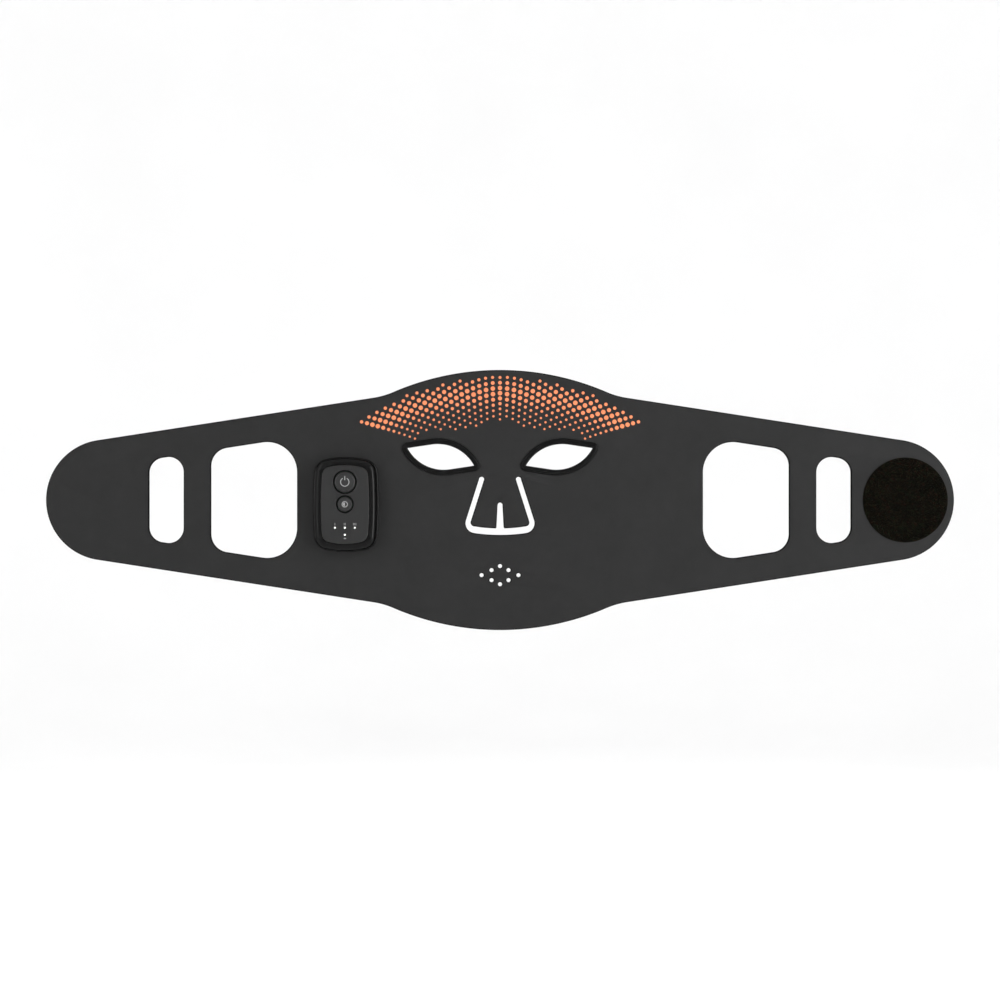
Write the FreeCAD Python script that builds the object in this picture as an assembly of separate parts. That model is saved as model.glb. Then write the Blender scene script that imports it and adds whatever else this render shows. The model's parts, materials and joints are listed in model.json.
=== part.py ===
"""Flexible LED face mask with a screwed-on control unit, one solid or group of solids per node.

The mask is drawn lying flat: U runs along the straps, V up the face and W out of the front.
Every shape is then stood up as it is worn: X = U, Y = -W, Z = V - EYE_V. The front faces -Y, the
wearing side is the plane Y = 0, and the origin lies midway between the eyes. Millimetres.
"""

import FreeCAD, Part
import math
import os

Vec = FreeCAD.Vector

# ---------------------------------------------------------------- layers, along W
REAR_SKIN = 1.0              # soft inner skin against the face
FRONT_SKIN = 2.2             # outer skin, thickened to both layers in the straps
FRONT_W = REAR_SKIN + FRONT_SKIN
FLEX_THICKNESS = 0.2
POCKET_AIR = 0.05            # air in front of what lies in a pocket of the skin
BEND_GAP = 0.4               # slit between neighbouring segments of the sheet
CLEARANCE = 0.05             # around small pieces let into a skin

# ---------------------------------------------------------------- eye openings and rims
EYE_U, EYE_V = 39.2, 28.5    # centre of an eye opening
EYE_HALF_LENGTH = 22.0       # centre to a corner, along U
EYE_CORNER_RISE = 5.8        # outer corner above the centre, inner corner below it
EYE_BROW_U, EYE_BROW_V = 6.0, 8.2        # where the straight edge meets the curved one
EYE_CURVE_U, EYE_CURVE_V = 10.4, 5.5     # a point on the curved edge
RIM_WALL = 1.2               # neck that lines the hole
RIM_FRONT_WIDTH = 3.8
RIM_FRONT_HEIGHT = 1.4
RIM_REAR_WIDTH = 3.0

# ---------------------------------------------------------------- control unit, outside
UNIT_V = -3.0                # centre, on the left cheek
UNIT_WIDTH = 42.0
UNIT_DEPTH = 11.0            # skin to the shoulder's top
UNIT_WALL = 1.5
UNIT_CORNER = 9.5
UNIT_SIDE_BULGE, UNIT_END_BULGE = 1.4, 3.2
SHOULDER_RADIUS = 4.0
SHOULDER_SIDE, SHOULDER_END = 5.2, 4.7   # widths of the shoulder round the face plate
PLATE_CORNER = 6.0
PLATE_SIDE_BULGE, PLATE_END_BULGE = 1.0, 2.4
PLATE_PROUD = 0.7
PLATE_THICKNESS = 2.0
PLATE_EDGE = 0.6             # radius along the plate's front edge
PLATE_CLEARANCE = 0.15
LEDGE_WIDTH, LEDGE_THICKNESS = 1.4, 1.2
TAPE_THICKNESS = 0.3

# ---------------------------------------------------------------- buttons and lights of the unit
POWER_MARGIN = 4.1           # plate's top edge to the power button
BUTTON_SPACING = 1.2         # between the two buttons' flanges
MODE_TO_LEVELS = 15.4        # mode button to the row of level lights
LEVELS_INSET = 10.6          # level lights to the plate's bottom edge
LEVEL_STEP = 6.5
CHARGE_STEP = 4.6            # level lights to the charge light
POWER_RADIUS, MODE_RADIUS = 6.9, 4.9
BUTTON_CLEARANCE = 0.3
BUTTON_PROUD = 0.6
BUTTON_EDGE = 0.45
BUTTON_TRAVEL = 0.4
FLANGE_WIDTH, FLANGE_THICKNESS = 0.8, 0.7
FLANGE_GAP = 0.1             # resting button's flange to the plate's back
STEM_RADIUS = 1.5
SWITCH_SIDE, SWITCH_HEIGHT = 5.2, 1.0
PLUNGER_RADIUS, PLUNGER_PROUD, PLUNGER_DEPTH = 1.2, 0.6, 0.5
PIPE_RADIUS, PIPE_PROUD, PIPE_GAP = 0.6, 0.1, 0.2
GUIDE_BAR_WIDTH, GUIDE_BAR_THICKNESS = 2.4, 0.9
SIGNAL_SIDE, SIGNAL_HEIGHT = 1.2, 0.5

# ---------------------------------------------------------------- inside the unit
BOARD_THICKNESS = 0.8
BOARD_LIFT = 3.9             # floor to the board's back
BOARD_CLEARANCE = 0.2        # to the opening inside the ledge
BOARD_SCREW_INSET_U, BOARD_SCREW_INSET_V = 4.2, 5.2
BOARD_SCREW_RADIUS, BOARD_HEAD_RADIUS, BOARD_HEAD_HEIGHT = 0.8, 1.5, 0.7
BOSS_RADIUS = 1.9
MOUNT_SCREW_WALL = 4.5       # inside of the side wall to a mounting screw's centre
MOUNT_SCREW_V = 14.0
MOUNT_SCREW_RADIUS, MOUNT_HEAD_RADIUS, MOUNT_HEAD_HEIGHT = 0.9, 1.7, 0.8
BACKING_THICKNESS = 0.8
BACKING_CORNER = 6.0
BACKING_MARGIN_U, BACKING_MARGIN_V = 3.0, 9.0    # beyond the mounting screws
BATTERY_HEIGHT, BATTERY_THICKNESS = 26.0, 3.2
BATTERY_BOSS_GAP = 0.5       # to the board's upper bosses
BATTERY_SCREW_GAP = 1.3      # to the mounting screws' heads
CHIP_SIDE, CHIP_HEIGHT = 4.0, 0.7
USB_WIDTH, USB_HEIGHT, USB_DEPTH, USB_WALL = 8.9, 3.2, 7.4, 0.3
USB_TONGUE_WIDTH, USB_TONGUE_THICKNESS, USB_TONGUE_LENGTH = 6.7, 0.7, 4.6
USB_RECESS = 0.6             # socket's mouth behind the unit's end
USB_CLEARANCE = 0.15
RIBBON_WIDTH, RIBBON_CLEARANCE = 8.0, 0.25
RIBBON_V = -16.0
CONNECTOR_WIDTH, CONNECTOR_DEPTH, CONNECTOR_HEIGHT = 9.6, 3.0, 1.2

# ---------------------------------------------------------------- the sheet, along U from the middle
EYE_TO_BEND = 2.3            # eye rim to the cheek bend
UNIT_INSET, UNIT_OUTSET = 13.5, 5.5      # control unit to the cheek bend and the temple bend
EAR_INSET, EAR_LENGTH, EAR_OUTSET = 5.9, 56.9, 9.5
SLOT_INSET, SLOT_WIDTH, SLOT_OUTSET = 8.6, 22.8, 7.8
DISC_RADIUS = 28.0
DISC_MARGIN = 4.4            # disc to the strap's tip
TIP_RADIUS = 40.0
TAPER = math.radians(8.75)   # slope of the straps' long edges
CROWN_RISE = 5.5             # forehead above the point where the strap edges would meet
CROWN_RADIUS = 178.0         # forehead and chin arcs
HOLLOW_RADIUS = 55.0         # hollow arc between crown and strap edge
RAIL = 18.0                  # sheet left above and below a strap opening
EAR_INNER_CORNER, EAR_OUTER_CORNER = 20.0, 12.0
SLOT_CORNER = 10.0
REAR_SKIN_MARGIN = 4.5       # inner skin's end to the temple bend

# ---------------------------------------------------------------- nose flap and mouth holes
NOSE_TOP_V = 13.6            # fold of the nose flap
NOSE_SLIT = 3.4              # width of the slanted slits, along U
NOSE_TOP_HALF = 12.2         # centre of a slit's round top end
NOSE_SPREAD = 0.319          # slits' sideways run for each mm down
NOSE_OUTER_V, NOSE_OUTER_SAG, NOSE_OUTER_CORNER = -20.6, 2.5, 6.5
NOSE_INNER_V, NOSE_INNER_SAG, NOSE_INNER_CORNER = -17.0, 1.8, 2.6
LIP_SLIT_TOP_V = -1.7
LIP_SLIT_TOP, LIP_SLIT_BOTTOM = 3.2, 4.8         # widths of the slit in the flap
MOUTH_V = -49.7
MOUTH_HOLE_RADIUS = 1.35
MOUTH_REACH_U, MOUTH_REACH_V = 12.2, 6.0         # outermost holes
MOUTH_STEP_U, MOUTH_STEP_V = 5.6, 3.3            # holes between them

# ---------------------------------------------------------------- fastening discs
HOOK_THICKNESS = 1.4
LOOP_THICKNESS = 1.0

# ---------------------------------------------------------------- lights of the mask
FLEX_INSET = 7.0             # sheet's edge to the flexible circuit
FLEX_HOLE_GAP = 1.0          # rim or slit to the flexible circuit
FLEX_END_MARGIN = 5.0        # flexible circuit to the inner skin's end
NECK_HEIGHT, NECK_LENGTH = 9.0, 7.0      # necks of the circuit that cross the cheek bends
NECK_V = (-40.0, 50.0)
MOUTH_KEEP_U, MOUTH_KEEP_V = 18.0, 11.0
LED_PITCH_U, LED_PITCH_V = 16.6, 15.0
LED_SIDE, LED_HEIGHT = 3.0, 0.6
LENS_RADIUS = 2.5
LENS_MARGIN = 1.2            # lens to the circuit's edge

# ---------------------------------------------------------------- worked out from the sizes above
PLATE_WIDTH = UNIT_WIDTH - 2 * SHOULDER_SIDE
POWER_INSET = POWER_MARGIN + POWER_RADIUS
BUTTON_PITCH = POWER_RADIUS + MODE_RADIUS + 2 * FLANGE_WIDTH + BUTTON_SPACING
PLATE_HEIGHT = POWER_INSET + BUTTON_PITCH + MODE_TO_LEVELS + LEVELS_INSET
UNIT_HEIGHT = PLATE_HEIGHT + 2 * SHOULDER_END
POWER_V = PLATE_HEIGHT / 2 - POWER_INSET
MODE_V = POWER_V - BUTTON_PITCH
LEVELS_V = MODE_V - MODE_TO_LEVELS
MOUNT_SCREW_U = UNIT_WIDTH / 2 - UNIT_WALL - MOUNT_SCREW_WALL
BATTERY_WIDTH = 2 * (MOUNT_SCREW_U - MOUNT_HEAD_RADIUS - BATTERY_SCREW_GAP)

FLOOR_W = FRONT_W + UNIT_WALL
SHOULDER_W = FRONT_W + UNIT_DEPTH
PLATE_TOP_W = SHOULDER_W + PLATE_PROUD
PLATE_BACK_W = PLATE_TOP_W - PLATE_THICKNESS
LEDGE_TOP_W = PLATE_BACK_W - TAPE_THICKNESS
CAVITY_TOP_W = LEDGE_TOP_W - LEDGE_THICKNESS
BOARD_W = FLOOR_W + BOARD_LIFT
BOARD_TOP_W = BOARD_W + BOARD_THICKNESS
SWITCH_TOP_W = BOARD_TOP_W + SWITCH_HEIGHT
BACKING_W = REAR_SKIN + FLEX_THICKNESS
BACKING_TOP_W = BACKING_W + BACKING_THICKNESS

CHEEK_BEND = EYE_U + EYE_HALF_LENGTH + RIM_FRONT_WIDTH + EYE_TO_BEND
UNIT_U = -(CHEEK_BEND + UNIT_INSET + UNIT_WIDTH / 2)
TEMPLE_BEND = CHEEK_BEND + UNIT_INSET + UNIT_WIDTH + UNIT_OUTSET
EAR_IN = TEMPLE_BEND + EAR_INSET
EAR_OUT = EAR_IN + EAR_LENGTH
NAPE_BEND = EAR_OUT + EAR_OUTSET
SLOT_IN = NAPE_BEND + SLOT_INSET
SLOT_OUT = SLOT_IN + SLOT_WIDTH
DISC_U = SLOT_OUT + SLOT_OUTSET + DISC_RADIUS
HALF_LENGTH = DISC_U + DISC_RADIUS + DISC_MARGIN
TIP_U = HALF_LENGTH - TIP_RADIUS
HALF_HEIGHT = (TIP_RADIUS + TIP_U * math.sin(TAPER)) / math.cos(TAPER) + CROWN_RISE
REAR_SKIN_END = TEMPLE_BEND - REAR_SKIN_MARGIN
FLEX_END = REAR_SKIN_END - FLEX_END_MARGIN
BEYOND = 1.0                 # cutting tools run past what they cut by this much


# ================================================================ flat drawing
def point(u, v, w=0.0):
    return Vec(u, v, w)


def arc(start, middle, end):
    return Part.Arc(start, middle, end).toShape()


def line(start, end):
    return Part.LineSegment(start, end).toShape()


def face_of(edges):
    return Part.Face(Part.Wire(Part.__sortEdges__(edges)))


def extrude(face, bottom, top):
    """A face drawn at W = 0, as a solid from bottom to top."""
    lifted = face.copy()
    lifted.translate(Vec(0, 0, bottom))
    return lifted.extrude(Vec(0, 0, top - bottom))


def rectangle(left, right, low, high):
    return Part.makePlane(right - left, high - low, point(left, low))


def centred_rectangle(width, height, u=0.0, v=0.0):
    return rectangle(u - width / 2, u + width / 2, v - height / 2, v + height / 2)


def disc(u, v, radius):
    return Part.Face(Part.Wire(Part.makeCircle(radius, point(u, v))))


def grown(face, distance):
    """The outline of a face, moved out by a distance, or in if it is negative."""
    return Part.Face(face.OuterWire.makeOffset2D(distance))


def moved(shape, u, v, w=0.0):
    copy = shape.copy()
    copy.translate(point(u, v, w))
    return copy


def upright_edges(block):
    return [e for e in block.Edges if abs(e.Vertexes[0].Z - e.Vertexes[-1].Z) > BEYOND / 2]


def filleted_outline(face, radius, keep=lambda edge: True):
    """A flat outline with the corners that keep() picks rounded."""
    block = extrude(face, 0, BEYOND)
    rounded = block.makeFillet(radius, [e for e in upright_edges(block) if keep(e)])
    bottom = min(rounded.Faces, key=lambda f: f.CenterOfMass.z)
    return Part.Face(bottom.OuterWire)


def rounded_polygon(corners, radii):
    """A closed outline with straight sides and the given corner radii."""
    count = len(corners)
    starts, ends, arcs = [], [], []
    for i, corner in enumerate(corners):
        before = (corners[i - 1] - corner).normalize()
        after = (corners[(i + 1) % count] - corner).normalize()
        half = before.getAngle(after) / 2
        setback = radii[i] / math.tan(half)
        bisector = (before + after).normalize()
        starts.append(corner + before * setback)
        ends.append(corner + after * setback)
        middle = corner + bisector * (radii[i] / math.sin(half) - radii[i])
        arcs.append(arc(starts[i], middle, ends[i]))
    sides = [line(ends[i], starts[(i + 1) % count]) for i in range(count)]
    return face_of(arcs + sides)


def rounded_rectangle(width, height, radius):
    half_u, half_v = width / 2, height / 2
    corners = [
        point(-half_u, -half_v),
        point(half_u, -half_v),
        point(half_u, half_v),
        point(-half_u, half_v),
    ]
    return rounded_polygon(corners, [radius] * 4)


def stadium(width, height):
    """A slot-shaped outline with half-round ends."""
    end_u = (width - height) / 2
    middle = centred_rectangle(2 * end_u, height)
    ends = [disc(side * end_u, 0, height / 2) for side in (-1, 1)]
    return middle.fuse(ends).removeSplitter().Faces[0]


def cushion(width, height, side_bulge, end_bulge, corner):
    """A rounded rectangle whose four sides are shallow arcs."""
    half_u, half_v = width / 2, height / 2
    in_u, in_v = half_u - side_bulge, half_v - end_bulge
    corners = [point(-in_u, -in_v), point(in_u, -in_v), point(in_u, in_v), point(-in_u, in_v)]
    middles = [point(0, -half_v), point(half_u, 0), point(0, half_v), point(-half_u, 0)]
    edges = [arc(corners[i], middles[i], corners[(i + 1) % 4]) for i in range(4)]
    return filleted_outline(face_of(edges), corner)


def corner_places(reach_u, reach_v):
    return [(u * reach_u, v * reach_v) for u in (-1, 1) for v in (-1, 1)]


# ================================================================ sheet outline
def edge_v(u, inset):
    """Height of the strap edge's straight line at U, moved in by an inset."""
    return (TIP_RADIUS - inset - (u - TIP_U) * math.sin(TAPER)) / math.cos(TAPER)


def quarter_points():
    """Upper right quarter: crown end, middle of the hollow, and both ends of the strap edge."""
    normal = Vec(math.sin(TAPER), math.cos(TAPER), 0)
    along = Vec(-math.cos(TAPER), math.sin(TAPER), 0)
    tip = point(TIP_U, 0)
    crown = point(0, HALF_HEIGHT - CROWN_RADIUS)
    base = tip + normal * (TIP_RADIUS + HOLLOW_RADIUS)
    offset = base - crown
    reach = CROWN_RADIUS + HOLLOW_RADIUS
    half_b = offset.dot(along)
    travel = -half_b - math.sqrt(half_b**2 - offset.dot(offset) + reach**2)
    hollow = base + along * travel
    crown_end = crown + (hollow - crown) * (CROWN_RADIUS / reach)
    line_start = hollow - normal * HOLLOW_RADIUS
    toward = ((crown_end + line_start) * 0.5 - hollow).normalize()
    return crown_end, hollow + toward * HOLLOW_RADIUS, line_start, tip + normal * TIP_RADIUS


def sheet_outline():
    crown_end, hollow_middle, line_start, line_end = quarter_points()

    def at(p, u_sign, v_sign):
        return point(p.x * u_sign, p.y * v_sign)

    edges = []
    for v_sign in (1, -1):
        left, right = at(crown_end, -1, v_sign), at(crown_end, 1, v_sign)
        edges.append(arc(left, point(0, v_sign * HALF_HEIGHT), right))
        for u_sign in (1, -1):
            start = at(line_start, u_sign, v_sign)
            edges.append(arc(at(crown_end, u_sign, v_sign), at(hollow_middle, u_sign, v_sign), start))
            edges.append(line(start, at(line_end, u_sign, v_sign)))
    for u_sign in (1, -1):
        tip = point(u_sign * HALF_LENGTH, 0)
        edges.append(arc(at(line_end, u_sign, 1), tip, at(line_end, u_sign, -1)))
    return face_of(edges)


# ================================================================ openings in the sheet
def strap_opening(side, inner, outer, inner_corner, outer_corner):
    """Opening in a strap whose long edges run parallel to the strap's."""
    inner_v, outer_v = edge_v(inner, RAIL), edge_v(outer, RAIL)
    corners = [
        point(side * inner, -inner_v),
        point(side * outer, -outer_v),
        point(side * outer, outer_v),
        point(side * inner, inner_v),
    ]
    return rounded_polygon(corners, [inner_corner, outer_corner, outer_corner, inner_corner])


def ear_opening(side):
    return strap_opening(side, EAR_IN, EAR_OUT, EAR_INNER_CORNER, EAR_OUTER_CORNER)


def slot_opening(side):
    return strap_opening(side, SLOT_IN, SLOT_OUT, SLOT_CORNER, SLOT_CORNER)


def eye_opening(side):
    """Leaf shape with the same edge above and, turned half round, below. Side -1 is the left."""
    corner = point(-EYE_HALF_LENGTH, EYE_CORNER_RISE)
    meet = point(-EYE_BROW_U, EYE_BROW_V)
    curve = point(EYE_CURVE_U, EYE_CURVE_V)
    edges = []
    for turn in (1, -1):
        far = corner * -turn
        edges.append(line(corner * turn, meet * turn))
        edges.append(arc(meet * turn, curve * turn, far))
    leaf = face_of(edges)
    if side > 0:
        leaf = leaf.mirror(point(0, 0), Vec(1, 0, 0))
    return moved(leaf, side * EYE_U, EYE_V)


def nose_trapezium(top_half, bottom_v, sag, corner):
    """Outline that widens from the fold down to a bulging lower edge."""
    bottom_half = top_half + NOSE_SPREAD * (NOSE_TOP_V - bottom_v)
    corners = [
        point(-top_half, NOSE_TOP_V),
        point(-bottom_half, bottom_v),
        point(bottom_half, bottom_v),
        point(top_half, NOSE_TOP_V),
    ]
    edges = [
        line(corners[0], corners[1]),
        arc(corners[1], point(0, bottom_v - sag), corners[2]),
        line(corners[2], corners[3]),
        line(corners[3], corners[0]),
    ]
    return filleted_outline(face_of(edges), corner, lambda e: e.CenterOfMass.y < 0)


def nose_opening():
    """The flap's place and the slits round it, with their round top ends."""
    outer = NOSE_TOP_HALF + NOSE_SLIT / 2
    opening = nose_trapezium(outer, NOSE_OUTER_V, NOSE_OUTER_SAG, NOSE_OUTER_CORNER)
    ends = [disc(side * NOSE_TOP_HALF, NOSE_TOP_V, NOSE_SLIT / 2) for side in (-1, 1)]
    return opening.fuse(ends).removeSplitter().Faces[0]


def nose_flap_outline():
    """The flap below its fold, split by a slit that widens towards the lip."""
    inner = NOSE_TOP_HALF - NOSE_SLIT / 2
    flap = nose_trapezium(inner, NOSE_INNER_V, NOSE_INNER_SAG, NOSE_INNER_CORNER)
    fold = rectangle(-inner - BEYOND, inner + BEYOND, NOSE_TOP_V - BEND_GAP, NOSE_TOP_V + BEYOND)
    half_top, half_bottom = LIP_SLIT_TOP / 2, LIP_SLIT_BOTTOM / 2
    round_v = LIP_SLIT_TOP_V - half_top
    low_v = NOSE_INNER_V - NOSE_INNER_SAG - BEYOND
    slit = face_of(
        [
            line(point(-half_bottom, low_v), point(half_bottom, low_v)),
            line(point(half_bottom, low_v), point(half_top, round_v)),
            arc(point(half_top, round_v), point(0, LIP_SLIT_TOP_V), point(-half_top, round_v)),
            line(point(-half_top, round_v), point(-half_bottom, low_v)),
        ]
    )
    return flap.cut([fold, slit])


def mouth_holes():
    places = [(0, MOUTH_REACH_V), (0, -MOUTH_REACH_V), (MOUTH_REACH_U, 0), (-MOUTH_REACH_U, 0)]
    places += corner_places(MOUTH_STEP_U, MOUTH_STEP_V)
    return [disc(u, MOUTH_V + v, MOUTH_HOLE_RADIUS) for u, v in places]


# ================================================================ segments of the sheet
FAR = HALF_LENGTH + BEYOND
HALF_GAP = BEND_GAP / 2
SEGMENTS = {
    "left_tail": (-FAR, -NAPE_BEND - HALF_GAP),
    "left_ear_band": (-NAPE_BEND + HALF_GAP, -TEMPLE_BEND - HALF_GAP),
    "left_cheek": (-TEMPLE_BEND + HALF_GAP, -CHEEK_BEND - HALF_GAP),
    "centre": (-CHEEK_BEND + HALF_GAP, CHEEK_BEND - HALF_GAP),
    "right_cheek": (CHEEK_BEND + HALF_GAP, TEMPLE_BEND - HALF_GAP),
    "right_ear_band": (TEMPLE_BEND + HALF_GAP, NAPE_BEND - HALF_GAP),
    "right_tail": (NAPE_BEND + HALF_GAP, FAR),
}
LIT_SEGMENTS = ("left_cheek", "centre", "right_cheek")


def band(segment):
    left, right = SEGMENTS[segment]
    return rectangle(left, right, -HALF_HEIGHT - BEYOND, HALF_HEIGHT + BEYOND)


def flex_outline():
    """The whole flexible circuit, necked where it crosses the cheek bends."""
    tall = 2 * HALF_HEIGHT
    cuts = [grown(eye_opening(side), RIM_REAR_WIDTH + FLEX_HOLE_GAP) for side in (-1, 1)]
    cuts.append(grown(nose_opening(), FLEX_HOLE_GAP))
    cuts.append(centred_rectangle(2 * MOUTH_KEEP_U, 2 * MOUTH_KEEP_V, 0, MOUTH_V))
    necks = [centred_rectangle(4 * CHEEK_BEND, NECK_HEIGHT, 0, v) for v in NECK_V]
    for side in (-1, 1):
        cuts.append(centred_rectangle(NECK_LENGTH, tall, side * CHEEK_BEND, 0).cut(necks))
    whole = grown(sheet_outline(), -FLEX_INSET).common(centred_rectangle(2 * FLEX_END, tall))
    return whole.cut(cuts)


def led_places(flex):
    """Staggered grid of the diode centres that lie well inside the flexible circuit."""
    slab = extrude(flex, -BEYOND, BEYOND)
    reach = LENS_RADIUS + LENS_MARGIN
    turns = [step * math.pi / 4 for step in range(8)]
    ring = [point(reach * math.cos(turn), reach * math.sin(turn)) for turn in turns]
    rows = int(HALF_HEIGHT / LED_PITCH_V) + 1
    columns = int(FLEX_END / LED_PITCH_U) + 1
    places = []
    for row in range(-rows, rows + 1):
        for column in range(-columns, columns + 1):
            centre = point((column + 0.5 * (row % 2)) * LED_PITCH_U, (row + 0.5) * LED_PITCH_V)
            if all(slab.isInside(centre + probe, 1e-3, True) for probe in ring):
                places.append((centre.x, centre.y, row))
    return places


def in_segment(segment, place):
    left, right = SEGMENTS[segment]
    return left < place[0] < right


def led_solids(places):
    top = REAR_SKIN
    bottom = REAR_SKIN - LED_HEIGHT
    return [extrude(centred_rectangle(LED_SIDE, LED_SIDE, u, v), bottom, top) for u, v, row in places]


def lens_solids(places):
    """Clear plugs that fill the inner skin's windows, each hollowed for its diode."""
    side = LED_SIDE + 2 * CLEARANCE
    hollow_w = REAR_SKIN - LED_HEIGHT - CLEARANCE
    solids = []
    for u, v, row in places:
        hollow = extrude(centred_rectangle(side, side, u, v), hollow_w, REAR_SKIN + BEYOND)
        solids.append(extrude(disc(u, v, LENS_RADIUS), 0, REAR_SKIN).cut(hollow))
    return solids


def eye_rim(side):
    """Grommet that grips both skins: a neck in the hole and a flange on each side."""
    hole = eye_opening(side)
    top = FRONT_W + RIM_FRONT_HEIGHT
    neck = extrude(grown(hole, RIM_WALL), 0, top)
    front = extrude(grown(hole, RIM_FRONT_WIDTH), FRONT_W, top)
    rear = extrude(grown(hole, RIM_REAR_WIDTH), 0, REAR_SKIN)
    through = extrude(hole, -BEYOND, top + BEYOND)
    return neck.fuse([front, rear]).cut(through).removeSplitter()


# ================================================================ control unit
def unit_outline(inset=0.0):
    width, height = UNIT_WIDTH - 2 * inset, UNIT_HEIGHT - 2 * inset
    return cushion(width, height, UNIT_SIDE_BULGE, UNIT_END_BULGE, UNIT_CORNER - inset)


def plate_outline(inset=0.0):
    width, height = PLATE_WIDTH - 2 * inset, PLATE_HEIGHT - 2 * inset
    return cushion(width, height, PLATE_SIDE_BULGE, PLATE_END_BULGE, PLATE_CORNER - inset)


def board_outline():
    return plate_outline(LEDGE_WIDTH + BOARD_CLEARANCE)


def board_screw_places():
    reach = board_outline().BoundBox
    return corner_places(reach.XMax - BOARD_SCREW_INSET_U, reach.YMax - BOARD_SCREW_INSET_V)


def mount_screw_places():
    return corner_places(MOUNT_SCREW_U, MOUNT_SCREW_V)


def top_edges(solid, height):
    return [e for e in solid.Edges if all(abs(v.Z - height) < 1e-6 for v in e.Vertexes)]


def ribbon_slot(bottom, top):
    width = RIBBON_WIDTH + 2 * RIBBON_CLEARANCE
    height = FLEX_THICKNESS + 2 * RIBBON_CLEARANCE
    return extrude(centred_rectangle(width, height, 0, RIBBON_V), bottom, top)


def mount_holes(bottom, top, clearance):
    radius = MOUNT_SCREW_RADIUS + clearance
    return [extrude(disc(u, v, radius), bottom, top) for u, v in mount_screw_places()]


def along_v(face, mouth_v, length, middle_w):
    """An outline drawn in U and V, turned to face -V and extruded up V from its mouth."""
    prism = extrude(face, 0, length)
    prism.rotate(point(0, 0), Vec(1, 0, 0), -90)
    return moved(prism, 0, mouth_v, middle_w)


def usb_mouth_v():
    return -UNIT_HEIGHT / 2 + USB_RECESS


def usb_middle_w():
    return BOARD_W - USB_HEIGHT / 2


def unit_base():
    """Tub with a rounded shoulder, a ledge for the face plate and bosses for the board."""
    shell = extrude(unit_outline(), FRONT_W, SHOULDER_W)
    shell = shell.makeFillet(SHOULDER_RADIUS, top_edges(shell, SHOULDER_W))
    cavity = extrude(unit_outline(UNIT_WALL), FLOOR_W, CAVITY_TOP_W)
    cavity = cavity.makeFillet(SHOULDER_RADIUS - UNIT_WALL, top_edges(cavity, CAVITY_TOP_W))
    plate_room = extrude(plate_outline(-PLATE_CLEARANCE), LEDGE_TOP_W, SHOULDER_W + BEYOND)
    inside_ledge = extrude(plate_outline(LEDGE_WIDTH), CAVITY_TOP_W - BEYOND, LEDGE_TOP_W + BEYOND)
    port = stadium(USB_WIDTH + 2 * USB_CLEARANCE, USB_HEIGHT + 2 * USB_CLEARANCE)
    port = along_v(port, -UNIT_HEIGHT, UNIT_HEIGHT * 0.6, usb_middle_w())
    tub = shell.cut([cavity, plate_room, inside_ledge, port])
    bosses = [
        extrude(disc(u, v, BOSS_RADIUS), FLOOR_W, BOARD_W) for u, v in board_screw_places()
    ]
    pilots = [
        extrude(disc(u, v, BOARD_SCREW_RADIUS), FLOOR_W, BOARD_W + BEYOND)
        for u, v in board_screw_places()
    ]
    floor_cuts = mount_holes(FRONT_W - BEYOND, FLOOR_W + BEYOND, CLEARANCE)
    floor_cuts.append(ribbon_slot(FRONT_W - BEYOND, FLOOR_W + BEYOND))
    return tub.fuse(bosses).cut(pilots + floor_cuts).removeSplitter()


def plate_tape():
    ring = plate_outline().cut(plate_outline(LEDGE_WIDTH))
    return extrude(ring, LEDGE_TOP_W, PLATE_BACK_W)


def light_places():
    levels = [(step * LEVEL_STEP, LEVELS_V) for step in (-1, 0, 1)]
    return levels + [(0, LEVELS_V - CHARGE_STEP)]


def face_plate():
    plate = extrude(plate_outline(), PLATE_BACK_W, PLATE_TOP_W)
    plate = plate.makeFillet(PLATE_EDGE, top_edges(plate, PLATE_TOP_W))
    low, high = PLATE_BACK_W - BEYOND, PLATE_TOP_W + BEYOND
    holes = [
        extrude(disc(0, v, radius + BUTTON_CLEARANCE), low, high)
        for v, radius in ((POWER_V, POWER_RADIUS), (MODE_V, MODE_RADIUS))
    ]
    holes += [extrude(disc(u, v, PIPE_RADIUS), low, high) for u, v in light_places()]
    return plate.cut(holes)


def light_guide():
    """Clear pins behind the level and charge lights, joined by a tee against the plate's back."""
    span = 2 * LEVEL_STEP + GUIDE_BAR_WIDTH
    low_w = PLATE_BACK_W - GUIDE_BAR_THICKNESS
    bar = extrude(centred_rectangle(span, GUIDE_BAR_WIDTH, 0, LEVELS_V), low_w, PLATE_BACK_W)
    stalk_v = LEVELS_V - CHARGE_STEP / 2
    stalk = centred_rectangle(GUIDE_BAR_WIDTH, CHARGE_STEP + GUIDE_BAR_WIDTH, 0, stalk_v)
    pin_w = BOARD_TOP_W + SIGNAL_HEIGHT + PIPE_GAP
    pins = [
        extrude(disc(u, v, PIPE_RADIUS), pin_w, PLATE_TOP_W + PIPE_PROUD) for u, v in light_places()
    ]
    return bar.fuse([extrude(stalk, low_w, PLATE_BACK_W)] + pins).removeSplitter()


def button(v, radius):
    """Cap with a hidden flange and a stem that rests on its switch's plunger."""
    top_w = PLATE_TOP_W + BUTTON_PROUD
    flange_top = PLATE_BACK_W - FLANGE_GAP
    flange_w = flange_top - FLANGE_THICKNESS
    cap = extrude(disc(0, v, radius), flange_w, top_w)
    cap = cap.makeFillet(BUTTON_EDGE, top_edges(cap, top_w))
    flange = extrude(disc(0, v, radius + FLANGE_WIDTH), flange_w, flange_top)
    stem = extrude(disc(0, v, STEM_RADIUS), SWITCH_TOP_W + PLUNGER_PROUD, flange_w)
    return cap.fuse([flange, stem]).removeSplitter()


def switch_plunger(v):
    bottom, top = SWITCH_TOP_W - PLUNGER_DEPTH, SWITCH_TOP_W + PLUNGER_PROUD
    return extrude(disc(0, v, PLUNGER_RADIUS), bottom, top)


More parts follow.
